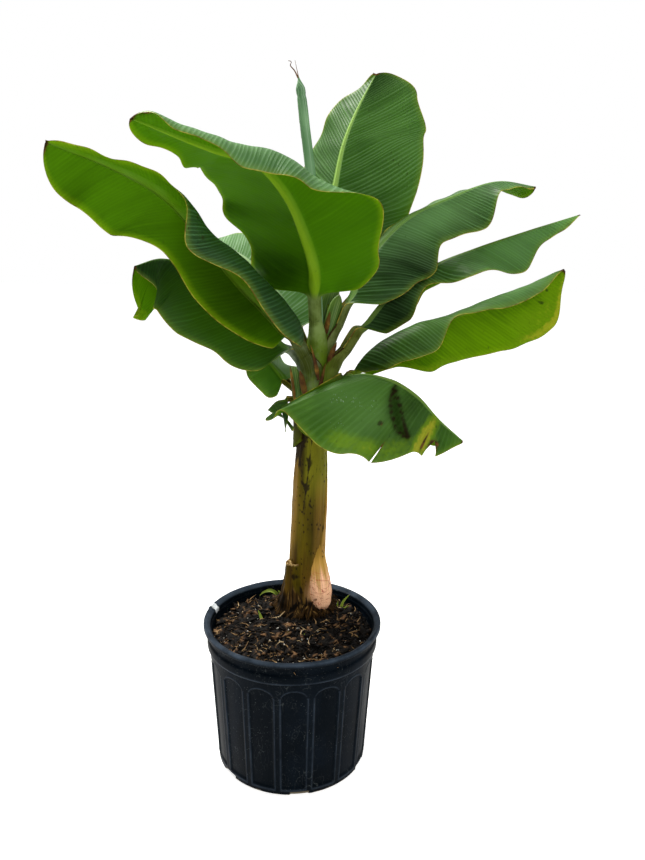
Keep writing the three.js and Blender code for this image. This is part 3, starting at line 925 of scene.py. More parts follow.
@dataclass(frozen=True)
class StemSection:
    """The stem's core under its sheaths: its place, and rings of height, shift to the right and radius."""

    x: float = 25.0
    y: float = 75.0
    foot: float = 290.35
    oval: float = 0.95
    rings: tuple[Point, ...] = (
        (290.35, 0, 57), (304, 0, 53), (330, 0, 44), (365, 1, 40.5), (420, 3, 39), (500, 6, 37.5),
        (600, 8, 36.5), (680, 9, 37.5), (725, 12, 41), (760, 14, 40), (792, 15, 31), (840, 16, 25),
        (900, 14, 20),
    )
    inset: float = 5.0
    inset_from: float = 560.0
    inset_full: float = 690.0

    def at(self, z: Array) -> tuple[Array, Array, Array]:
        """X and Y of the centre, and the radius.

        Args:
            z: heights.

        Returns:
            Three numbers for each height.
        """
        curve = SmoothCurve(self.rings).at(np.linspace(0, 1, 500))
        height = np.asarray(z, float)
        offset = np.interp(height, curve[:, 0], curve[:, 1])
        radius = np.interp(height, curve[:, 0], curve[:, 2])
        radius = radius - self.inset * ease(height, self.inset_from, self.inset_full)
        return self.x + offset, np.full_like(height, self.y), radius

    def round(self, angle: Array, z: Array, x: Array, y: Array, radius: Array) -> Array:
        """Points at angles in radians, heights and radii round a centre."""
        wide, deep = radius * np.cos(angle), self.oval * radius * np.sin(angle)
        return np.stack([x + wide, y + deep, z + 0 * radius], -1)


@dataclass(frozen=True)
class Leaf:
    """One leaf: its sheath round the stem, its channelled stalk, and its blade with the midrib.

    The midrib goes on from the petiole's last point. order is how far in millimetres the sheath
    lies out from the stem's core, wrap how far down it goes, span how many degrees of the stem it
    clasps at each side, and sweep how far the veins run toward the tip for each millimetre away
    from the midrib.
    """

    name: str
    petiole: tuple[Point, ...]
    midrib: tuple[Point, ...]
    left: Half
    right: Half
    foot: float
    taper: float
    blunt: float
    stalk: float
    finish: tuple[BladeFinish, BladeFinish]
    face: Point = (0.0, 0.0, 1.0)
    order: float = 3.0
    wrap: float = 140.0
    span: float = 92.0
    flutter: float = 2.2
    sweep: float = 0.35
    # Stains, painted light (lit) and painted shade (dim) on the blade.
    stains_and_light: tuple[StainOrLight, ...] = ()

    TIP: float = 4.0
    LAMINA: float = 0.9
    RIM: float = 2.4
    SHEATH: float = 0.62
    SHEATH_WALL: float = 2.2
    SPREAD: float = 1.65
    ROUND: float = 122.0
    FREE: tuple[float, float] = (770.0, 812.0)
    BLEND: float = 0.07
    RIB_COLUMNS: int = 5
    RIM_STEPS: tuple[float, ...] = (0.55, 0.2, 0.0)
    TEAR_STEPS: tuple[float, ...] = (-1.6, -1.05, -1, -0.8, -0.5, -0.25, 0, 0.25, 0.5, 0.8, 1, 1.05, 1.6)
    COLUMNS: int = 25
    ROWS: int = 150
    STALK_ROWS: int = 12
    SHEATH_ROWS: int = 34

    def half(self, side: int) -> Half:
        """The half on a side: -1 left, +1 right of the midrib seen from above."""
        return self.right if side > 0 else self.left

    def midrib_curve(self) -> SmoothCurve:
        """The midrib, from the petiole's end to the tip."""
        return SmoothCurve((self.petiole[-1], *self.midrib))

    def rib_radius(self, u: Array) -> Array:
        """Half width of the midrib at shares of the blade."""
        return self.stalk * 0.92 * (1 - u) ** 0.8 + 1.0

    def rib_depth(self, u: Array) -> tuple[Array, Array]:
        """Depth of the midrib's groove at shares of the blade, and how far it swells underneath."""
        groove, swell = self.stalk * 0.32 * (1 - u) ** 1.3, self.stalk * 1.15 * (1 - u) ** 0.9 + 0.7
        return groove[:, None], swell[:, None]

    def full_width(self, u: Array, side: int) -> Array:
        """Half width of the untorn blade.

        Args:
            u: shares of the blade.
            side: -1 left, +1 right.

        Returns:
            Millimetres from the midrib to the margin.
        """
        a = np.clip(u / self.foot, 0, 1)
        b = np.clip((u - self.taper) / (1 - self.taper), 0, 1)
        shape = np.sqrt(np.maximum(1 - (1 - a) ** 2, 0)) * np.maximum(1 - b**self.blunt, 0) ** 0.6
        half = self.half(side)
        return np.maximum(half.width * shape * stations(half.share, u), self.TIP)

    def reach(self, u: Array, side: int) -> Array:
        """Half width with the tears.

        Args:
            u: shares of the blade.
            side: -1 left, +1 right.

        Returns:
            Millimetres from the midrib to the edge.
        """
        width = self.full_width(u, side)
        for tear in self.half(side).tears:
            near = np.clip(1 - np.abs(u - tear.place) / tear.span, 0, 1)
            width = width * (1 - tear.depth * near**0.6)
        return np.maximum(width, self.TIP)

    def surface(self, curve: SmoothCurve, u: Array, distance: Array, side: int) -> tuple[Array, Array]:
        """Smooth shape of a half.

        Args:
            curve: the midrib.
            u: shares of the blade, one for each row.
            distance: millimetres from the midrib, for each row and column.
            side: -1 left, +1 right.

        Returns:
            Points, and normals out of the upper side.
        """
        half = self.half(side)
        along, up, right = curve.frame(u, self.face)
        width = self.full_width(u, side)[:, None]
        degrees, waves, phase = half.wave
        ripple = degrees * np.sin(2 * math.pi * (waves * u + phase))
        rise = np.radians(stations(half.rise, u))[:, None]
        bend = np.radians(stations(half.bend, u) + ripple)[:, None]
        bend = np.where(np.abs(bend) < 1e-4, 1e-4, bend)
        lean = np.radians(stations(half.lean, u))[:, None]
        angle = rise + bend * (distance / width)
        across = (np.sin(angle) - np.sin(rise)) / bend * width * np.cos(lean)
        lift = (np.cos(rise) - np.cos(angle)) / bend * width * np.cos(lean)
        points = curve.at(u)[:, None, :] + out(side * right, across) + out(up, lift)
        points = points + out(along, np.sin(lean) * distance)
        return points, out(up, np.cos(angle)) - out(side * right, np.sin(angle))

    def crimp(self, curve: SmoothCurve, u: Array, distance: Array, side: int) -> Array:
        """How far the blade stands off its smooth shape: pleats, a fluttered margin, and torn flaps.

        Args:
            curve: the midrib.
            u: shares of the blade.
            distance: millimetres from the midrib.
            side: -1 left, +1 right.

        Returns:
            Millimetres toward the upper side.
        """
        v = distance / self.full_width(u, side)[:, None]
        x = (u * curve.span)[:, None] + side * 31.0
        swell = np.sin(x / 13.5 + 0.8 * np.sin(x / 37)) + 0.6 * np.sin(x / 6.1 + 1.3)
        edge = np.sin(x / 17 + side) + 0.7 * np.sin(x / 8.3 + 2 * side) + 0.5 * np.sin(x / 41)
        stand = 0.55 * swell * np.clip(4 * v * (1 - v), 0, 1) + self.flutter * edge * np.clip(v, 0, 1) ** 3.5
        for tear in self.half(side).tears:
            gap = (u - tear.place)[:, None]
            fold = np.sign(gap) * np.exp(-np.abs(gap) / (4 * tear.span + 0.02))
            stand = stand + 4.0 * fold * np.clip(v - 0.4, 0, 1)
        return stand

    def tube(self, curve: SmoothCurve, u: Array, radius: Array) -> tuple[Array, Array]:
        """Channelled stalk: its hollow upper line and its round under line.

        Args:
            curve: the path.
            u: shares of its length.
            radius: outer radius at each share.

        Returns:
            Upper and under points, from the left margin to the right one.
        """
        _, up, right = curve.frame(u, self.face)
        f = np.linspace(-1, 1, 2 * self.COLUMNS - 1)
        r = np.asarray(radius, float)[:, None]
        turn = f * math.radians(self.ROUND)
        centre = curve.at(u)[:, None, :]
        hollow = 0.53 * r - 0.68 * r * np.cos(f * math.pi / 2)
        upper = centre + out(right, (0.85 * r - 1.7) * np.sin(f * math.pi / 2)) + out(up, hollow)
        return upper, centre + out(right, r * np.sin(turn)) + out(up, -r * np.cos(turn))

    def blade_rows(self) -> Array:
        """Shares of the blade for its rows, closer together at its ends and at each tear.

        Returns:
            Shares in rising order.
        """
        x = np.linspace(0, 1, self.ROWS + 1)[1:]
        even = 0.55 * x + 0.45 * (1 - np.cos(math.pi * x)) / 2
        tears = self.left.tears + self.right.tears
        u = np.concatenate([even, *(tear.place + np.array(self.TEAR_STEPS) * tear.span for tear in tears)])
        return np.unique(np.round(u[(u > 0.002) & (u <= 1)], 5))

    def half_blade(self, curve: SmoothCurve, u: Array, side: int) -> Rows:
        """One half of the blade, without the line of the midrib.

        Args:
            curve: the midrib.
            u: shares of the blade, one for each row.
            side: -1 left, +1 right.

        Returns:
            Arrays by name, from left to right.
        """
        reach = self.reach(u, side)[:, None]
        rib = np.minimum(self.rib_radius(u)[:, None], 0.45 * reach)
        rim = np.minimum(self.RIM, 0.3 * (reach - rib))
        inner = rib * np.linspace(1 / self.RIB_COLUMNS, 1, self.RIB_COLUMNS)
        last = reach - rim * np.array(self.RIM_STEPS)
        count = self.COLUMNS - 1 - self.RIB_COLUMNS - len(self.RIM_STEPS)
        middle = rib + (reach - rim - rib) * np.linspace(0, 1, count + 1)[1:]
        distance = np.concatenate([inner, middle, last], axis=1)
        points, normals = self.surface(curve, u, distance, side)
        points = points + normals * self.crimp(curve, u, distance, side)[..., None]
        thin = normals * (self.LAMINA / 2 * np.clip((reach - distance) / 2.0, 0.3, 1))[..., None]
        near = np.sqrt(np.clip(1 - (distance / rib) ** 2, 0, 1))
        _, up, _ = curve.frame(u, self.face)
        groove, swell = self.rib_depth(u)
        found = {
            "upper": points + thin - out(up, groove * near),
            "under": points - thin - out(up, swell * near),
            "across": distance * side,
            "edge": reach - distance,
            "rib": distance - rib,
        }
        return {key: value[:, ::side] for key, value in found.items()}

    def blade(self) -> Rows:
        """Upper and under points of the blade, with the numbers that its finish reads.

        Returns:
            Arrays by name, each with a row for each place along the blade.
        """
        curve, u = self.midrib_curve(), self.blade_rows()
        _, up, _ = curve.frame(u, self.face)
        reach = np.minimum(self.reach(u, -1), self.reach(u, 1))[:, None]
        groove, swell = self.rib_depth(u)
        line = curve.at(u)[:, None, :]
        middle = {
            "upper": line + out(up, self.LAMINA / 2 - groove),
            "under": line - out(up, self.LAMINA / 2 + swell),
            "across": 0 * reach,
            "edge": reach,
            "rib": -np.minimum(self.rib_radius(u)[:, None], 0.45 * reach),
        }
        left, right = (self.half_blade(curve, u, side) for side in (-1, 1))
        rows = {key: np.concatenate([left[key], middle[key], right[key]], axis=1) for key in middle}
        tube = self.tube(curve, u, np.maximum(self.stalk * (1 - u), self.rib_radius(u)))
        blend = ease(u, 0.0, self.BLEND)[:, None, None]
        for key, stalk in zip(("upper", "under"), tube):
            rows[key] = stalk * (1 - blend) + rows[key] * blend
        wide = np.zeros(rows["rib"].shape)
        rows["along"] = (u * curve.span)[:, None] + wide
        rows["share"] = u[:, None] + wide
        rows["open"] = ease(u, 0.004, 0.045)[:, None] + wide
        return rows

    def stalk_rows(self) -> Rows:
        """Arrays of the free stalk, down to the end of its sheath.

        Returns:
            Arrays by name.
        """
        curve = SmoothCurve(self.petiole)
        u = np.linspace(self.SHEATH, 1, self.STALK_ROWS + 1)[:-1]
        return self.stalk_numbers(curve, u, *self.tube(curve, u, np.full(len(u), self.stalk)))

    def stalk_numbers(self, curve: SmoothCurve, u: Array, upper: Array, under: Array) -> Rows:
        """The numbers that the finish reads on a stalk or sheath.

        Args:
            curve: its path.
            u: shares of its length.
            upper: points of its hollow side.
            under: points of its outer side.

        Returns:
            Arrays by name.
        """
        zero = np.zeros(upper.shape[:2])
        girth = np.linalg.norm(np.diff(under, axis=1), axis=2)
        around = np.concatenate([zero[:, :1], np.cumsum(girth, axis=1)], axis=1)
        total = around[:, -1:]
        return {
            "upper": upper,
            "under": under,
            "across": around - total / 2,
            "edge": np.minimum(around, total - around),
            "rib": zero - 5.0,
            "along": (u - 1)[:, None] * curve.span + zero,
            "share": zero,
            "open": zero,
        }

    def sheath_rows(self, stem: StemSection) -> Rows:
        """Arrays of the sheath, from the stem's side up to the free stalk.

        Args:
            stem: the stem that it clasps.

        Returns:
            Arrays by name.
        """
        curve = SmoothCurve(self.petiole)
        s = np.linspace(0, 1, self.SHEATH_ROWS)
        radius = self.stalk * (1 + (self.SPREAD - 1) * (1 - ease(s, 0.2, 1.0)))
        tube = self.tube(curve, self.SHEATH * s, radius)
        end = curve.at(np.array([self.SHEATH]))[0]
        z = end[2] - self.wrap * (1 - s)
        x, y, core = stem.at(z)
        f = np.linspace(-1, 1, 2 * self.COLUMNS - 1)[None, :]
        angle = math.atan2(end[1] - y[-1], end[0] - x[-1]) - f * math.radians(self.span)
        lift = self.order * ease(s, 0.0, 0.4) - 1.5 * (1 - ease(s, 0.0, 0.25))
        level = z[:, None] + 26.0 * np.abs(f) ** 2 * (1 - s)[:, None]
        blend = ease(s, 0.12, 1.0)[:, None, None]
        sides = []
        for stalk, inward in zip(tube, (self.SHEATH_WALL, 0.0)):
            clasp = stem.round(angle, level, x[:, None], y[:, None], (core + lift)[:, None] - inward)
            sides.append(self.hugged(clasp * (1 - blend) + stalk * blend, stem, self.order - inward))
        return self.stalk_numbers(curve, self.SHEATH * s, *sides)

    def hugged(self, points: Array, stem: StemSection, stand: float) -> Array:
        """Pushes points out to where the sheath lies on the stem.

        Args:
            points: places to push.
            stem: the stem.
            stand: how far out from its core they lie.

        Returns:
            The pushed places.
        """
        z = points[..., 2]
        x, y, core = (a.reshape(z.shape) for a in stem.at(z.ravel()))
        dx, dy = points[..., 0] - x, (points[..., 1] - y) / stem.oval
        far = np.maximum(np.hypot(dx, dy), 1e-6)
        wanted = np.maximum(far, (core + stand) * (1 - ease(z, *self.FREE)))
        return np.stack([x + dx / far * wanted, y + dy / far * wanted * stem.oval, z], -1)

    def marked(self, rows: Rows) -> Rows:
        """Strength of each kind of stain, painted light and painted shade for the points of one side.

        Args:
            rows: the blade's arrays.

        Returns:
            A number for each point, by kind.
        """
        share = rows["share"]
        side = np.sign(rows["across"])
        widths = {sign: self.full_width(share[:, 0], sign)[:, None] for sign in (-1, 1)}
        width = np.where(side > 0, widths[1], widths[-1])
        length = self.midrib_curve().span
        old = ease(-rows["along"], 34.0, 92.0)
        found = {kind: np.zeros(share.shape) for kind in STAIN_AND_LIGHT_KINDS}
        found["dry"] = 0.8 * ease(share, 0.984, 0.998)
        found["yellow"] = 0.62 * old
        found["dark"] = 0.3 * old
        for stain in self.stains_and_light:
            dx = (share - stain.along) * length / stain.length
            dy = (rows["across"] - stain.across * width) / stain.width
            spot = stain.strength * np.exp(-(dx**2 + dy**2)) * (side * stain.across >= 0)
            found[stain.kind] = np.maximum(found[stain.kind], spot)
        for sign, own_width in widths.items():
            across = np.abs(rows["across"]) / own_width
            for tear in self.half(sign).tears:
                near = np.exp(-(((share - tear.place) / (tear.span * 1.15)) ** 2) * 1.4)
                burnt = near * ease(across, 1 - tear.depth - 0.08, 1 - tear.depth + 0.05) * (side == sign)
                found["dry"] = np.maximum(found["dry"], burnt * 0.9)
        return found

    def add(self, draft: Draft, rows: Rows, slots: tuple[int, int], margin: float) -> None:
        """Adds a closed shell for rows of upper and under points.

        Args:
            draft: the piece that takes it.
            rows: arrays by name.
            slots: material slots of the upper and under side.
            margin: width of the dry line along its margin.
        """
        count, columns = rows["upper"].shape[:2]
        ring = 2 * columns
        last = (count - 1) * ring
        faces = grid_faces(count, ring, True).tolist()
        for i in range(columns - 1):
            faces.append([i, ring - 1 - i, ring - 2 - i, i + 1])
        for i in range(columns - 1):
            faces.append([last + i, last + i + 1, last + ring - 2 - i, last + ring - 1 - i])
        row_slots = [slots[0]] * columns + [slots[1]] * columns
        slot = row_slots * (count - 1) + [slots[0]] * (2 * columns - 2)

        def both(values: Array) -> Array:
            """A value for the upper points and then the under ones."""
            return np.concatenate([values, values[:, ::-1]], axis=1)

        swept = rows["along"] - self.sweep * np.abs(rows["across"]) * rows["open"]
        draft.add(
            np.concatenate([rows["upper"], rows["under"][:, ::-1]], axis=1),
            faces,
            slot,
            np.stack([both(swept) * MM, 0.5 + both(rows["across"]) * MM], axis=-1),
            margin=margin,
            **{key: both(rows[key]) for key in ("edge", "rib", "open")},
            **{kind: both(found) for kind, found in self.marked(rows).items()},
        )

    def build(self, finishes: tuple[bpy.types.Material, bpy.types.Material]) -> bpy.types.Object:
        """Makes the stalk and blade.

        Args:
            finishes: materials of the upper and the under side.

        Returns:
            The piece.
        """
        stalk, blade = self.stalk_rows(), self.blade()
        draft = Draft()
        self.add(draft, {key: np.concatenate([stalk[key], blade[key]]) for key in blade}, (0, 1), 1.3)
        return draft.piece(f"{self.name}_blade", finishes)


@dataclass(frozen=True)
class NurseryPot:
    """Blow-moulded round pot: foot with drain notches, arched panels, collar, groove and lip."""

    foot_radius: float = 152.0
    body_radius: float = 167.0
    body_top: float = 253.0
    wall: float = 3.2
    floor: float = 5.0
    panels: int = 16
    panel_turn: float = -86.5
    panel_depth: float = 2.4
    panel_share: float = 0.77
    panel_bottom: float = 16.0
    panel_top: float = 236.0
    arch: float = 18.0
    ledge: float = 276.0
    notches: int = 6
    notch_turn: float = -82.0
    notch_width: float = 36.0
    notch_height: float = 8.0
    notch_depth: float = 6.0
    # Heights of the painted sheen on the lip and on the collar.
    lip_sheen: float = 299.5
    collar_sheen: float = 254.5
    sides: int = 576
    finish: PotFinish = PotFinish()

    def taper(self, z: Array) -> Array:
        """Outer radius of the tapered body at heights."""
        wider = self.body_radius - self.foot_radius
        return self.foot_radius + wider * np.asarray(z, float) / self.body_top

    def inner_radius(self, z: float) -> float:
        """Radius of the inside at a height below the rim.

        Args:
            z: the height.

        Returns:
            The radius.
        """
        floor = self.taper(self.floor) - self.panel_depth - self.wall - 2
        ledge = self.taper(self.panel_top) - self.panel_depth - self.wall
        t = (z - self.floor) / (self.ledge - self.floor)
        return float(floor + (ledge - floor) * min(t, 1.0))

    def pressed(self, angle: Array, z: Array) -> Array:
        """How deep the side is pressed in: tall panels with arched tops between round-edged ribs.

        Args:
            angle: degrees round the pot.
            z: heights.

        Returns:
            Millimetres inward.
        """
        turn = (angle - self.panel_turn) / 360 * self.panels
        across = np.abs(turn - np.round(turn)) * 2
        pitch = math.pi * 160 / self.panels
        side = (self.panel_share - across) * pitch
        ratio = np.clip(across / self.panel_share, 0, 1)
        top = self.panel_top - self.arch * (1 - np.sqrt(1 - ratio**2)) - z
        bottom = z - self.panel_bottom
        inside = np.minimum(np.minimum(side, top * 0.9), bottom * 0.5)
        bead = 0.7 * hill(inside, -1.2, 1.3) * (z < self.panel_top + 6)
        return self.panel_depth * ease(inside, -0.6, 2.6) - bead

    def outline(self) -> tuple[Array, Array, int]:
        """Radii and heights of the section, from the foot's centre over the rim to the floor's centre.

        Returns:
            Radii, heights, and how many of them are outside.
        """
        body = np.concatenate([np.linspace(4, 26, 12), np.linspace(30, 204, 46), np.linspace(206, 250, 34)])
        outer = [(r, 0.0) for r in (0.0, 60.0, 120.0, 141.0, 145.5)] + [(148.8, 0.9), (150.6, 2.2)]
        outer += [(float(self.taper(z)), float(z)) for z in body]
        outer += [
            (167.6, 251.2), (169.6, 252.4), (171.2, 253.4), (172.0, 255.0), (172.2, 258.0), (172.0, 266.0),
            (171.8, 269.2), (171.0, 270.8), (169.8, 271.9), (168.8, 273.2), (168.5, 276.0), (168.5, 283.0),
            (168.8, 286.5), (170.2, 288.4), (173.0, 289.8), (176.4, 290.8), (178.2, 291.8), (179.0, 293.4),
            (179.0, 297.0), (178.8, 299.2), (178.0, 300.8), (176.6, 301.8), (175.2, 302.0),
        ]
        inner = [
            (173.4, 301.6), (171.8, 300.6), (170.6, 299.0), (169.4, 297.4), (166.6, 296.2), (165.4, 295.4),
            (164.8, 293.6), (164.6, 288.4), (163.9, 287.2), (162.8, 286.5), (162.4, 285.0), (162.2, 280.0),
            (161.7, 277.4), *((self.inner_radius(z), z) for z in (self.ledge, 200.0, self.floor)),
            (0.0, self.floor),
        ]
        points = np.array(outer + inner)
        return points[:, 0], points[:, 1], len(outer)

    def notched(self, degrees: Array, z: Array) -> Array:
        """Where the drain notches are.

        Args:
            degrees: places round the pot.
            z: heights.

        Returns:
            1 in a notch and 0 beside it.
        """
        pitch = 360 / self.notches
        gap = np.abs((degrees - self.notch_turn + pitch / 2) % pitch - pitch / 2)
        half = math.degrees(self.notch_width / 2 / self.foot_radius)
        return ease(-gap, -half - 0.5, -half + 0.5) * (z < self.notch_height + 1.5)

    def build(self) -> bpy.types.Object:
        """Makes the pot.

        Returns:
            The piece.
        """
        radius, height, outside = self.outline()
        angle = np.linspace(0, 360, self.sides, endpoint=False) + 0.31
        rows, degrees = np.meshgrid(np.arange(len(radius)), angle, indexing="ij")
        r, z = radius[rows], height[rows]
        outer = rows < outside
        body = outer & (z > 1) & (z < self.body_top - 2)
        pressed = self.pressed(degrees, z)
        r = r - np.where(body, pressed, 0)
        cut = self.notched(degrees, z) * outer
        low = ease(-z, -self.notch_height - 1.4, -self.notch_height + 0.2)
        r = r - cut * low * np.clip(self.notch_depth - (self.foot_radius - r), 0, None) * (r > 130)
        turn = np.radians(angle)
        lumps = roughened(np.stack([np.cos(turn) * 160, np.sin(turn) * 160, 0 * turn], -1), 90, 0.7)
        r = r + lumps[None, :] * (r > 100) * (z > 20)
        wear = ease(-z, -14.0, -1.0) * outer + 0.9 * cut
        # Painted sheen along the lip, the collar and the panel edges.
        painted_sheen = hill(z, self.lip_sheen, 3.2) + 0.5 * hill(z, self.collar_sheen, 2.0) * outer
        painted_sheen = painted_sheen + 0.45 * hill(pressed, -0.6, 0.35) * body
        points = np.stack([r * np.cos(np.radians(degrees)), r * np.sin(np.radians(degrees)), z], -1)
        count = len(radius) - 2
        faces = grid_faces(count, self.sides, True).tolist()
        low_pole, high_pole = count * self.sides, count * self.sides + 1
        top = (count - 1) * self.sides
        for i in range(self.sides):
            j = (i + 1) % self.sides
            faces.append([low_pole, j, i])
            faces.append([high_pole, top + i, top + j])
        draft = Draft()
        shell = np.vstack([points[1:-1].reshape(-1, 3), points[0, 0], points[-1, 0]])
        wear, painted_sheen = (np.append(value[1:-1].ravel(), [0, 0]) for value in (wear, painted_sheen))
        draft.add(shell, faces, wear=wear, painted_sheen=painted_sheen)
        return draft.piece("nursery_pot", [self.finish.material("blue_black_plastic")])


@dataclass(frozen=True)
class PottingSoil:
    """Filling of the pot: a plug of lumpy mix that rises in a mound to the stem."""

    top: float = 272.0
    mound: float = 18.0
    mound_start: float = 0.35
    seat: float = 62.0
    stem: tuple[float, float] = (25.0, 75.0)
    rows: int = 74
    sides: int = 260
    sheet_rows: int = 34
    sheet_sides: int = 120
    foot: float = 5.4
    lip: float = 10.0
    crown: float = 20.0
    top_gap: float = 1.0
    foot_gap: float = 0.35
    finish: GrainFinish = GrainFinish((4, 3, 2), (12, 9, 7), (34, 26, 18), 90.0, 620.0, 1.6, 0.9)

    def surface(self, t: Array, angle: Array, edge: float) -> Array:
        """Points of the lumpy top.

        Args:
            t: shares of the way from the pot's wall to the stem's seat.
            angle: radians round the ring.
            edge: radius at the pot's wall.

        Returns:
            Rows of points.
        """
        share, turn = np.meshgrid(t, angle, indexing="ij")
        radius = edge * (1 - share) + self.seat * share
        x = self.stem[0] * share + radius * np.cos(turn)
        y = self.stem[1] * share + radius * np.sin(turn)
        rise = self.mound * np.clip((share - self.mound_start) / (1 - self.mound_start), 0, 1) ** 0.7
        waves = np.sin(x / 11) * np.cos(y / 13) + 0.5 * np.sin((x + y) / 7)
        flat = np.stack([x, y, x * 0], -1)
        z = self.top + rise + 2.0 * waves * (1 - share)
        z = z + roughened(flat, 17.0, 3.4) + roughened(flat, 5.5, 2.0, 9.0)
        return np.stack([x, y, z], -1)

    def build(self, edge: float, floor: float) -> bpy.types.Object:
        """Makes the soil.

        Args:
            edge: radius at the pot's wall.
            floor: radius at the pot's floor.

        Returns:
            The piece.
        """
        angle = np.linspace(0, 2 * math.pi, self.sides, endpoint=False)

        def ring(x: float, y: float, radius: float, z: float) -> Array:
            """One flat ring round a centre."""
            across, back = x + radius * np.cos(angle), y + radius * np.sin(angle)
            return np.stack([across, back, 0 * angle + z], -1)[None]

        top = self.surface(np.linspace(0, 1, self.rows) ** 0.9, angle, edge)
        sides = [ring(0, 0, floor, self.foot), ring(0, 0, edge, self.top - self.lip)]
        draft = Draft()
        loft(draft, np.concatenate([*sides, top, ring(*self.stem, self.crown, self.top + self.mound)]))
        return draft.piece("potting_soil", [self.finish.material("potting_mix")])

    def ground(self, edge: float) -> bpy.types.Object:
        """Open sheet of the top, for scattering on. It is taken away again.

        Args:
            edge: radius at the pot's wall.

        Returns:
            The sheet.
        """
        angle = np.linspace(0, 2 * math.pi, self.sheet_sides, endpoint=False)
        top = self.surface(np.linspace(0.02, 0.93, self.sheet_rows), angle, edge)
        faces = grid_faces(self.sheet_rows, self.sheet_sides, True).tolist()
        return linked("soil_top", bare_mesh("soil_top", top, faces))


@dataclass(frozen=True)
class Litter:
    """One kind of bit strewn over the soil, set out by Geometry Nodes."""

    name: str
    density: float
    smallest: float
    largest: float
    tilt: float
    seed: int
    lift: float
    shape: Point
    bend: float
    sides: int
    finish: GrainFinish

    def bit(self) -> bpy.types.Object:
        """One bit, 1 m long before it is scaled: a bent, tapered, uneven sliver.

        Returns:
            An object that is taken away again.
        """
        length, width, thick = self.shape
        rings = []
        for i, x in enumerate(np.linspace(-1, 1, 5)):
            swell = max(1 - abs(x) ** 2.6, 0.16) * (1 + 0.22 * math.sin(5 * x + self.seed))
            angle = np.linspace(0, 2 * math.pi, self.sides, endpoint=False) + 0.4 * i
            y = width / 2 * swell * np.cos(angle) + self.bend * length * x * x
            z = thick / 2 * swell * np.sin(angle) + 0.3 * self.bend * length * math.sin(3 * x)
            rings.append(np.stack([0 * angle + x * length / 2, y, z], -1))
        draft = Draft()
        loft(draft, np.stack(rings) / MM)
        return draft.piece(f"{self.name}_bit", [])

    def scattering(self, bit: bpy.types.Object) -> bpy.types.NodeTree:
        """Builds the Geometry Nodes tree that strews the bit over a surface.

        Args:
            bit: the object that is repeated.

        Returns:
            The tree.
        """
        tree = bpy.data.node_groups.new(f"{self.name}_scatter", "GeometryNodeTree")
        floats = ("Density", "Smallest", "Largest", "Tilt", "Lift")
        kinds = {"Surface": "Geometry", **dict.fromkeys(floats, "Float"), "Seed": "Int"}
        for title, kind in kinds.items():
            tree.interface.new_socket(title, in_out="INPUT", socket_type=f"NodeSocket{kind}")
        tree.interface.new_socket("Bits", in_out="OUTPUT", socket_type="NodeSocketGeometry")
        steps = Steps(tree)
        given = steps.node("NodeGroupInput", {}).outputs
        density, tilt, seed = given["Density"], given["Tilt"], given["Seed"]
        spread = {"Mesh": given["Surface"], "Density": density, "Seed": seed}
        points = steps.node("GeometryNodeDistributePointsOnFaces", spread).outputs["Points"]
        lift = steps.node("ShaderNodeCombineXYZ", {"Z": given["Lift"]}).outputs[0]
        raised = steps.node("GeometryNodeSetPosition", {"Geometry": points, "Offset": lift}).outputs[0]
        down = steps.node("ShaderNodeMath", {0: tilt, 1: -1.0}, operation="MULTIPLY").outputs[0]
        low = steps.node("ShaderNodeCombineXYZ", {"X": down, "Y": down}).outputs[0]
        high = steps.node("ShaderNodeCombineXYZ", {"X": tilt, "Y": tilt, "Z": 2 * math.pi}).outputs[0]
        turns = {0: low, 1: high, "Seed": seed}
        turn = steps.node("FunctionNodeRandomValue", turns, data_type="FLOAT_VECTOR").outputs[0]
        sizes = {2: given["Smallest"], 3: given["Largest"], "Seed": seed}
        size = steps.node("FunctionNodeRandomValue", sizes, data_type="FLOAT").outputs[1]
        source = steps.node("GeometryNodeObjectInfo", {"Object": bit}).outputs["Geometry"]
        strewn = {"Points": raised, "Instance": source, "Rotation": turn, "Scale": size}
        bits = steps.node("GeometryNodeInstanceOnPoints", strewn).outputs[0]
        real = steps.node("GeometryNodeRealizeInstances", {0: bits}).outputs[0]
        material = self.finish.material(f"{self.name}_finish")
        dressed = steps.node("GeometryNodeSetMaterial", {"Geometry": real, "Material": material}).outputs[0]
        steps.node("NodeGroupOutput", {"Bits": dressed})
        return tree

    def build(self, ground: bpy.types.Object) -> bpy.types.Object:
        """Strews the bits and makes them one plain mesh.

        Args:
            ground: the surface that they lie on.

        Returns:
            The piece.
        """
        bit = self.bit()
        tree = self.scattering(bit)
        step = ground.modifiers.new("scatter", "NODES")
        step.node_group = tree
        wanted = {
            "Density": self.density, "Smallest": self.smallest * MM, "Largest": self.largest * MM,
            "Tilt": math.radians(self.tilt), "Lift": self.lift * MM, "Seed": self.seed,
        }
        for item in tree.interface.items_tree:
            if item.name in wanted and item.in_out == "INPUT":
                step[item.identifier] = wanted[item.name]
        bpy.context.view_layer.update()
        seen = ground.evaluated_get(bpy.context.evaluated_depsgraph_get())
        mesh = bpy.data.meshes.new_from_object(seen)
        ground.modifiers.clear()
        bpy.data.objects.remove(bit)
        mesh.name = self.name
        mesh.polygons.foreach_set("use_smooth", [True] * len(mesh.polygons))
        return linked(self.name, mesh)


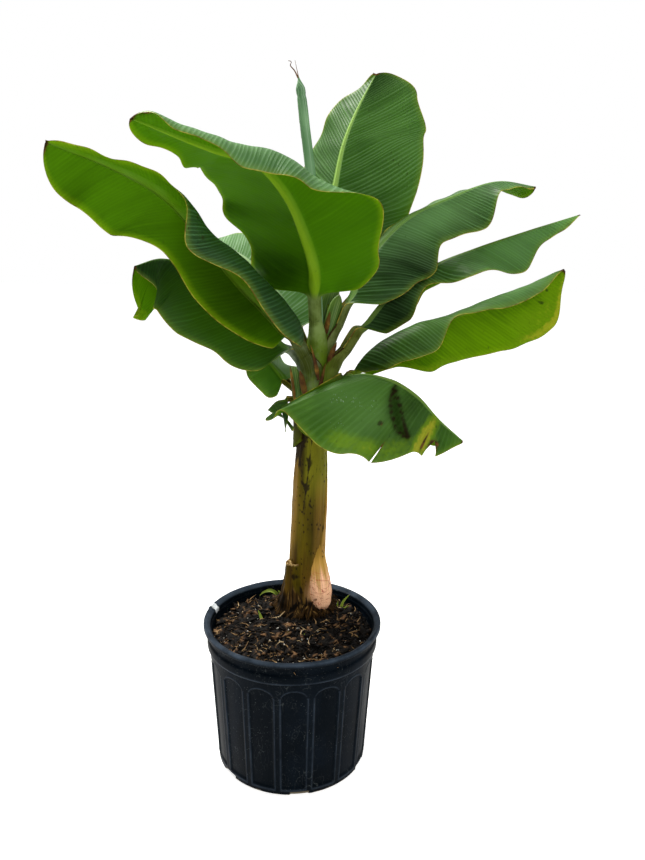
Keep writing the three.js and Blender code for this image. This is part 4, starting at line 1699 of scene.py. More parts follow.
def strip(
    draft: Draft,
    points: Sequence[Point],
    width: float,
    face: Point,
    blunt: float,
    slot: int = 0,
    grid: tuple[int, int] = (26, 9),
    **values: float,
) -> None:
    """Adds a thin hollow strip along a curve, narrowing to its dry tip.

    Args:
        draft: the piece that takes it.
        points: places that it follows.
        width: its full width.
        face: where its hollow side looks, about.
        blunt: how late it narrows.
        slot: its material's place in the piece.
        grid: how many rows it has along and across.
        **values: one number for the whole strip, under the name that a finish reads.
    """
    path = SmoothCurve(points)
    s = np.linspace(0, 1, grid[0])
    _, up, right = path.frame(s, face)
    half = (width / 2 * np.clip(1 - s**blunt, 0.05, 1) * (0.55 + 0.45 * ease(s, 0, 0.3)))[:, None]
    share = np.linspace(-1, 1, grid[1])
    across = half * share
    hollow = 0.45 * half * share**2
    flat = path.at(s)[:, None, :] + out(right, across)
    rings = np.concatenate([flat + out(up, hollow + 0.25), (flat + out(up, hollow - 0.35))[:, ::-1]], axis=1)
    across = np.concatenate([across, across[:, ::-1]], axis=1)
    places = np.stack([across * MM, (s * path.span * MM)[:, None] + 0 * across], -1)
    loft(draft, rings, slot, places, dry=ease(s, 0.93, 1.0)[:, None] * 0.7, **values)


@dataclass(frozen=True)
class SheathEdge:
    """Free edge of an old sheath: degrees and heights of its line, how far it stands out, and its reach."""

    line: tuple[tuple[float, float], ...]
    stand: float
    reach: float

    def at(self, degrees: Array, z: Array) -> tuple[Array, Array]:
        """How far the sheath stands out, and how near its edge is.

        Args:
            degrees: places round the stem.
            z: heights.

        Returns:
            Millimetres outward, and nearness from 0 to 1.
        """
        turns, levels = np.array(self.line, float).T
        gap = (degrees - np.interp(z, levels, turns) + 180) % 360 - 180
        held = ease(z, levels[0] - 14, levels[0] + 10) * (1 - ease(z, levels[-1] - 20, levels[-1] + 20))
        stand = self.stand * ease(gap, -1.0, 1.6) * (1 - ease(gap, self.reach * 0.3, self.reach)) * held
        return stand, hill(gap, 0.0, 2.2) * held


@dataclass(frozen=True)
class Patch:
    """Soft patch on the stem: degrees and height of its middle, its spread in each, and its strength."""

    turn: float
    height: float
    turn_spread: float
    height_spread: float
    strength: float

    def at(self, turn: Array, height: Array) -> Array:
        """Strength of the patch at places on the stem."""
        near = hill(turn, self.turn, self.turn_spread) * hill(height, self.height, self.height_spread)
        return self.strength * near


@dataclass(frozen=True)
class Pseudostem:
    """Stem of rolled sheaths on its fibrous foot, with a cut stub, a pink swelling and the leaf sheaths."""

    section: StemSection = StemSection()
    top: float = 800.0
    soil: float = 291.5
    rows: int = 200
    sides: int = 150
    rounding: float = 16.0
    fibre_count: int = 170
    scrap_count: int = 120
    finish: TrunkFinish = TrunkFinish()
    edges: tuple[SheathEdge, ...] = (
        SheathEdge(((-66, 322), (-60, 360), (-44, 430), (-27, 513), (-6, 620), (16, 720)), 2.4, 120),
        SheathEdge(((-118, 440), (-109, 520), (-98, 600), (-84, 690), (-70, 760)), 1.6, 110),
        SheathEdge(((-168, 330), (-156, 470), (-138, 610), (-120, 720)), 2.0, 100),
        SheathEdge(((70, 300), (84, 430), (104, 560), (130, 720)), 2.2, 120),
        SheathEdge(((150, 310), (166, 450), (188, 600), (210, 720)), 2.0, 110),
    )
    blots: tuple[Patch, ...] = (
        Patch(-142, 655, 24, 36, 2.4),
        Patch(-92, 668, 22, 26, 0.7),
        Patch(-100, 560, 12, 34, 0.45),
    )

    def looks(self, turn: Array, height: Array, edge: Array) -> dict[str, Array]:
        """The numbers that the finish reads on the stem's body.

        Args:
            turn: degrees round the stem.
            height: heights.
            edge: nearness of a sheath's edge.

        Returns:
            Arrays by name.
        """
        # Tan mask: the sheaths' own tan, and painted light on the stem's right side.
        slant = (height - 340) * 0.2
        tan = ease(turn, -70 + slant, -52 + slant) * (1 - ease(turn, 62, 92))
        tan = tan * (1 - 0.75 * ease(height, 560, 700))
        tan = tan + 0.5 * ease(-height, -420, -320) * ease(turn, -66, -50)
        tan = tan * (turn < 120) + 0.4 * ease(-turn, 118, 142) * (1 - ease(height, 600, 650))
        tan = np.maximum(tan, 0.42 * ease(turn, -88, -64) * (turn < 60) * (1 - ease(height, 560, 640)))
        blot = sum(patch.at(turn, height) for patch in self.blots)
        # Fewer blots where the tan mask paints light, more along the sheath edges, and more towards the
        # lower left.
        blot = blot - 0.5 * tan + 0.45 * edge + 0.5 * hill(turn, -150, 24) * ease(-height, -420, -330)
        bulb = hill(turn, -40, 46)
        ragged = 12 * np.sin(np.radians(turn) * 5 + 1) + 6 * np.sin(np.radians(turn) * 13)
        root = 1.2 * (1 - ease(height - ragged * (1 - bulb) + 28 * bulb, 306.0, 352.0))
        return {
            "tan": tan,
            "blot": blot,
            "root": np.clip(root, 0, 1),
            "pink": 0.8 * bulb * (1 - ease(height, 330.0, 400.0)),
            "lime": ease(height, 500, 620) * ease(turn, -124, -96) * (turn < 60),
        }

    def body(self, draft: Draft) -> None:
        """Adds the stem's own body.

        Args:
            draft: the piece that takes it.
        """
        z = np.linspace(self.section.foot, self.top, self.rows)
        degrees = np.linspace(-180, 180, self.sides, endpoint=False)
        height, turn = np.meshgrid(z, degrees, indexing="ij")
        x, y, core = self.section.at(z)
        radius = core[:, None] + 0 * turn
        edge = 0 * turn
        for sheath in self.edges:
            stand, near = sheath.at(turn, height)
            radius = radius + stand - 0.8
            edge = np.maximum(edge, near)
        close = ease(height, self.top - self.rounding, self.top)
        radius = radius * np.sqrt(np.clip(1 - close**2 * 0.96, 0, 1))
        a = np.radians(turn)
        around = np.stack([np.cos(a) * 40, np.sin(a) * 40, height], -1)
        low = 1 - ease(height, 296.0, 330.0)
        radius = radius + roughened(around * np.array([1, 1, 0.09]), 5.0, 0.5)
        radius = radius + roughened(around * np.array([1, 1, 0.35]), 26.0, 1.2, 4.0) * (1 - low)
        radius = radius + roughened(around, 7.5, 3.6, 2.0) * low - 1.0 * low
        points = self.section.round(a, height, x[:, None], y[:, None], radius)
        places = np.stack([a * 0.04, height * MM], -1)
        loft(draft, points, 0, places, **self.looks(turn, height, edge))

    def folded(
        self, path: SmoothCurve, ring: Array, waves: Sequence[tuple[float, int]], twist: float
    ) -> tuple[Array, Array]:
        """Draws rings in and out round their centres in folds.

        Args:
            path: curve of the centres.
            ring: rows of ring points.
            waves: depth and number of the folds, the first of which twist.
            twist: radians that the first folds turn for each millimetre of height.

        Returns:
            The folded rings, and the angle of each point.
        """
        centre = path.at(np.linspace(0, 1, len(ring)))[:, None, :]
        angle = np.arctan2(ring[..., 1] - centre[..., 1], ring[..., 0] - centre[..., 0])
        (first, often), (second, more) = waves
        folds = first * np.sin(often * angle + twist * ring[..., 2]) + second * np.sin(more * angle)
        return centre + (ring - centre) * (1 + folds)[..., None], angle

    def stub(self, draft: Draft) -> None:
        """Adds the old sheath that was cut off at the lower left.

        Args:
            draft: the piece that takes it.
        """
        s = np.linspace(0, 1, 26)
        path = SmoothCurve(((1, 60, 292), (-1, 54, 345), (-2, 50, 400)))
        ring = round_rings(path, s, stations((43, 32, 24, 19, 15.5, 14), s), 64, (0.0, -1.0, 0.0))
        ring, angle = self.folded(path, ring, ((0.07, 7), (0.03, 17)), 0.0)
        ring[-3:, :, 2] += 1.3 * np.sin(3 * angle[-3:] + 1)
        middle = path.at(s[-1:])[:, None, :]
        hollow = middle + (ring[-1:] - middle) * np.array([0.8, 0.45, 0.1])[:, None, None]
        hollow[..., 2] = ring[-1:, :, 2] - np.array([0.6, 2.6, 4.0])[:, None]
        rings = np.concatenate([ring, hollow])
        cut = (np.arange(len(rings)) >= len(s) - 1)[:, None] * 1.0
        height = rings[..., 2]
        turn = np.concatenate([angle, *[angle[-1:]] * len(hollow)])
        places = np.stack([turn * 0.022, height * MM], -1)
        root = 1 - ease(height + 9 * np.sin(5 * turn) + 5 * np.sin(13 * turn), 312.0, 372.0)
        loft(draft, rings, 0, places, blot=0.4, root=root * (1 - cut), cut=cut)

    def swelling(self, draft: Draft) -> None:
        """Adds the pink swelling at the right of the foot, drawn out upwards along the stem.

        Args:
            draft: the piece that takes it.
        """
        s = np.linspace(0, 1, 56)
        path = SmoothCurve(((60, 48, 289.5), (57, 50, 316), (53, 55, 350), (47, 62, 400), (42, 70, 470)))
        radius = stations((9, 21, 24.5, 24, 21.5, 19, 17.5, 16.5, 16), s)
        ring = round_rings(path, s, radius, 72, (0.2, -1.0, 0.0))
        ring, angle = self.folded(path, ring, ((0.018, 9), (0.012, 23)), 0.02)
        height = ring[..., 2]
        left = ease(-angle, 1.7, 2.6) + ease(angle, 2.0, 2.6)
        root = 0.8 * (1 - ease(height - 22 * left - 4 * np.sin(9 * angle), 293.0, 304.0))
        places = np.stack([angle * 0.03, height * MM], -1)
        # The swelling takes the full tan mask, painted light included.
        loft(draft, ring, 0, places, tan=1.0, blot=-0.6, root=root, pink=1.25 * (1 - ease(height, 312, 440)))

    def fibres(self, draft: Draft) -> None:
        """Adds root fibres that run out from the foot into the soil.

        Args:
            draft: the piece that takes it.
        """
        random = np.random.default_rng(7)
        s = np.linspace(0, 1, 8)
        for _ in range(self.fibre_count):
            turn = math.radians(random.uniform(0, 360))
            start = random.uniform(40, 52)
            reach = start + random.uniform(14, 34)
            high = 296 + random.uniform(0, 16)
            sway = random.uniform(-0.28, 0.28)
            points = []
            for step, far in enumerate(np.linspace(start, reach, 4)):
                a = turn + sway * step / 3
                drop = (high - self.soil) * (step / 3) ** 1.2
                lift = 2.0 * random.uniform(-1, 1)
                place = self.section.round(a, high - drop + lift, self.section.x, self.section.y, far)
                points.append(tuple(place))
            thick = random.uniform(0.7, 2.0)
            rings = round_rings(SmoothCurve(points), s, thick * (1 - 0.75 * s), 6, (0.1, 0.2, 1.0))
            loft(draft, rings, 0, np.stack([0 * rings[..., 2], rings[..., 2] * MM], -1), root=0.8)

    def scraps(self, draft: Draft) -> None:
        """Adds the dark remnants of old sheaths that stand round the foot, shorter at the swelling.

        Args:
            draft: the piece that takes them.
        """
        random = np.random.default_rng(11)
        t = np.linspace(0, 1, 4)
        for _ in range(self.scrap_count):
            turn = random.uniform(-180, 180)
            low = 0.35 if abs(turn + 40) < 34 else 1.0
            rise = random.uniform(10, 46) * low
            stand, curl, sway = random.uniform(2, 9), random.uniform(-3, 9) * low, random.uniform(-16, 16)
            z = self.soil + rise * t
            x, y, core = self.section.at(z)
            far = core + stand * (1 - 0.7 * t) + curl * t**3
            points = self.section.round(np.radians(turn + sway * t), z, x, y, far)
            face = (-math.cos(math.radians(turn)), -math.sin(math.radians(turn)), 0.2)
            strip(draft, points, random.uniform(4, 15), face, 1.6, 0, (14, 5), root=random.uniform(0.8, 1.3))

    def build(self, leaves: Sequence[Leaf], finishes: dict[str, bpy.types.Material]) -> bpy.types.Object:
        """Makes the stem with the sheaths of its leaves.

        Args:
            leaves: the leaves that it carries.
            finishes: the under side's material of each leaf, by the leaf's name.

        Returns:
            The piece.
        """
        draft = Draft()
        for add in (self.body, self.stub, self.swelling, self.fibres, self.scraps):
            add(draft)
        for slot, leaf in enumerate(leaves, 1):
            leaf.add(draft, leaf.sheath_rows(self.section), (slot, slot), 2.8)
        slots = [self.finish.material("stem_sheaths"), *(finishes[leaf.name] for leaf in leaves)]
        return draft.piece("rolled_stem", slots)


@dataclass(frozen=True)
class SpearLeaf:
    """Young leaf, still rolled, with its roll's edge, its pinched neck and the dried thread at the tip."""

    path: tuple[Point, ...] = (
        (43, 76, 830), (35, 79, 1000), (25, 90, 1165), (15, 90, 1240), (5, 90, 1315), (-5, 90, 1360),
    )
    thread: tuple[Point, ...] = (
        (1, 89, 1330), (-6, 84, 1342), (-13, 84, 1350), (-12, 88, 1357), (-17, 90, 1359),
    )
    radii: tuple[float, ...] = (13, 12.7, 12.2, 11.6, 11, 10.4, 9.9, 9.5, 9.1, 8.4, 2)
    rows: int = 190
    sides: int = 56
    start: float = 0.09
    finish: ShootFinish = ShootFinish((118, 158, 112), (70, 112, 70), (156, 186, 152), 300.0, 0.5)

    def build(self) -> bpy.types.Object:
        """Makes the rolled leaf.

        Returns:
            The piece.
        """
        curve = SmoothCurve(self.path)
        u = np.linspace(self.start, 1, self.rows)
        radius = stations(self.radii, u) * (1 - 0.84 * ease(u, 0.905, 0.952))
        radius = radius * (1 - 0.1 * hill(u, 0.885, 0.006))
        angle = np.linspace(0, 2 * math.pi, self.sides, endpoint=False)
        seam = 0.9 + 2.4 * u
        roll = (angle[None, :] - seam[:, None]) % (2 * math.pi) / (2 * math.pi)
        pinch = 1 + 0.025 * np.sin(3 * angle)[None, :] * ease(u, 0.3, 0.7)[:, None]
        spiral = radius[:, None] * (0.93 + 0.13 * roll) * pinch
        ring = round_rings(curve, u, spiral, self.sides, (0.0, -1.0, 0.0))
        up = (u * curve.span)[:, None] + 0 * spiral
        places = np.stack([angle[None, :] * radius[:, None] * MM, up * MM], -1)
        near = hill(np.minimum(roll, 1 - roll), 0.0, 0.035)
        dry = 0.6 * near * ease(u, 0.2, 0.9)[:, None] + ease(u, 0.935, 0.96)[:, None]
        draft = Draft()
        loft(draft, ring, 0, places, dry=dry)
        s = np.linspace(0, 1, 22)
        loft(draft, round_rings(SmoothCurve(self.thread), s, 1.5 - 0.9 * s, 7), dry=1.0)
        return draft.piece("rolled_young_leaf", [self.finish.material("young_leaf")])


@dataclass(frozen=True)
class Sprouts:
    """The green shoots round the stem: for each shoot, a path and a width for each blade."""

    shoots: tuple[tuple[tuple[tuple[Point, ...], float], ...], ...]
    finish: ShootFinish = ShootFinish((176, 194, 84), (128, 152, 44), (204, 210, 120), 900.0, 0.4)

    def build(self) -> bpy.types.Object:
        """Makes all shoots as one piece.

        Returns:
            The piece.
        """
        draft = Draft()
        for shoot in self.shoots:
            for points, width in shoot:
                strip(draft, points, width, (0.35, -0.8, 0.5), 3.0)
        return draft.piece("sprouts", [self.finish.material("sprout_green")])


@dataclass(frozen=True)
class CrownScraps:
    """Dried remnants and green split sheath edges between the leaf stalks: path, width and bluntness."""

    dried: tuple[tuple[tuple[Point, ...], float, float], ...] = (
        (((1, 41, 738), (-4, 37, 778), (-9, 37, 812)), 6.0, 5.0),
        (((21, 33, 752), (15, 28, 782), (10, 28, 804)), 12.0, 5.0),
        (((46, 31, 785), (38, 29, 824), (30, 31, 852)), 9.0, 2.0),
        (((58, 74, 846), (61, 72, 880), (66, 74, 912)), 13.0, 4.0),
        (((64, 50, 812), (72, 50, 836), (80, 52, 856)), 11.0, 4.0),
        (((48, 30, 766), (54, 34, 794), (59, 40, 816)), 8.0, 2.0),
    )
    green: tuple[tuple[tuple[Point, ...], float, float], ...] = (
        (((5, 47, 732), (2, 43, 776), (-3, 43, 808)), 19.0, 16.0),
        (((58, 72, 856), (69, 74, 893), (84, 80, 944)), 26.0, 9.0),
        (((50, 96, 870), (60, 98, 915), (74, 104, 968)), 36.0, 12.0),
        (((72, 80, 780), (86, 82, 810), (99, 86, 838)), 15.0, 4.0),
    )
    finish: GrainFinish = GrainFinish((62, 36, 14), (88, 62, 22), (132, 98, 34), 45.0, 400.0, 0.6, 0.7)
    living: ShootFinish = ShootFinish((92, 122, 40), (52, 84, 22), (140, 160, 84), 500.0, 0.4)

    def build(self) -> bpy.types.Object:
        """Makes the remnants as one piece.

        Returns:
            The piece.
        """
        draft = Draft()
        for slot, strips in enumerate((self.dried, self.green)):
            for points, width, blunt in strips:
                strip(draft, points, width, (0.0, 1.0, 0.2), blunt, slot)
        slots = [self.finish.material("dried_sheath"), self.living.material("split_sheath")]
        return draft.piece("dry_scraps", slots)


@dataclass(frozen=True)
class RimTape:
    """Scrap of pale tape folded over the rim at the left: its section, its place and its width."""

    over: tuple[tuple[float, float], ...] = (
        (182.0, 289.5), (180.6, 293.0), (180.0, 297.5), (179.4, 300.8), (177.2, 303.0), (174.6, 303.2),
        (172.2, 301.8), (170.4, 299.6), (168.6, 298.0), (166.2, 297.0), (164.9, 294.0), (163.6, 289.0),
    )
    turn: float = 165.0
    width: float = 17.0
    radius: float = 175.0
    thick: float = 0.55
    rows: int = 40
    columns: int = 15
    finish: PaperFinish = PaperFinish()

    def build(self) -> bpy.types.Object:
        """Makes the scrap.

        Returns:
            The piece.
        """
        s = np.linspace(0, 1, self.rows)
        line = SmoothCurve([(r, 0.0, z) for r, z in self.over]).at(s)[:, ::2]
        side = np.stack([np.gradient(line[:, 1]), -np.gradient(line[:, 0])], -1)
        side = side / np.linalg.norm(side, axis=1, keepdims=True)
        crease = 0.35 * np.sin(s * 31)[:, None] + 0.25 * np.sin(np.linspace(0, 9, self.columns))[None, :]
        ragged = 1 + 0.12 * np.sin(s * 23) + 0.07 * np.sin(s * 57)
        half_turn = np.linspace(-0.5, 0.5, self.columns) * self.width / self.radius
        a = math.radians(self.turn) + half_turn[None, :] * ragged[:, None]
        shells = []
        for stand in (self.thick, 0.0):
            r = line[:, :1] + side[:, :1] * (crease + stand)
            z = line[:, 1:] + side[:, 1:] * (crease + stand)
            shells.append(np.stack([r * np.cos(a), r * np.sin(a), z], -1))
        draft = Draft()
        loft(draft, np.concatenate([shells[0], shells[1][:, ::-1]], axis=1))
        return draft.piece("rim_tape", [self.finish.material("pale_tape")])


def greens(
    deep: Colour, light: Colour, under_deep: Colour, under_light: Colour,
    stalk: Colour, shade: Colour, rib: Colour, vein: Colour, show: float = 0.4,
) -> tuple[BladeFinish, BladeFinish]:
    """Finishes of both sides of a leaf.

    Args:
        deep: darker green of the upper side.
        light: lighter green of the upper side.
        under_deep: darker green of the under side.
        under_light: lighter green of the under side.
        stalk: lighter colour of its stalk.
        shade: darker colour of its stalk.
        rib: colour of its midrib.
        vein: colour of the upper side's vein stripes.
        show: how clearly the stripes show.

    Returns:
        Upper and under finish.
    """
    red, green, blue = under_light
    bright = (red + 14, green + 18, blue + 4)
    upper = BladeFinish(deep, light, vein, stalk, shade, rib, (150, 190, 60), show, 0.3, 0.14, 0.45)
    under = BladeFinish(
        under_deep, under_light, bright, stalk, shade, rib, (150, 196, 30), 0.5, 0.4, 0.03, 0.5,
        rim=(136, 168, 14), rim_show=0.4,
    )
    return upper, under


def stains_and_light(**kinds: Sequence[tuple[float, ...]]) -> tuple[StainOrLight, ...]:
    """Stains, painted light (lit) and painted shade (dim) by kind, each a row of place along, place across,
    two spreads and strength.
    """
    return tuple(StainOrLight(kind, *row) for kind, rows in kinds.items() for row in rows)


def slit_stains_and_shade(steps: int = 26) -> tuple[StainOrLight, ...]:
    """Dark slit that bends across the low front leaf, with painted shade round it.

    Args:
        steps: how many steps it has.

    Returns:
        The stains.
    """
    made = []
    for k in range(steps + 1):
        bulge = math.sin(math.pi * k / steps)
        along, across = 0.44 + 0.01 * k, 0.06 + 0.0205 * k
        # Painted shade round the slit.
        made.append(StainOrLight("dim", along + 0.01 * bulge, across, 3 + 15 * bulge, 9, 1.2))
        made += [StainOrLight("dark", along + side * bulge, across, 2.3, 5, 0.95) for side in (-0.03, 0.05)]
    return tuple(made)
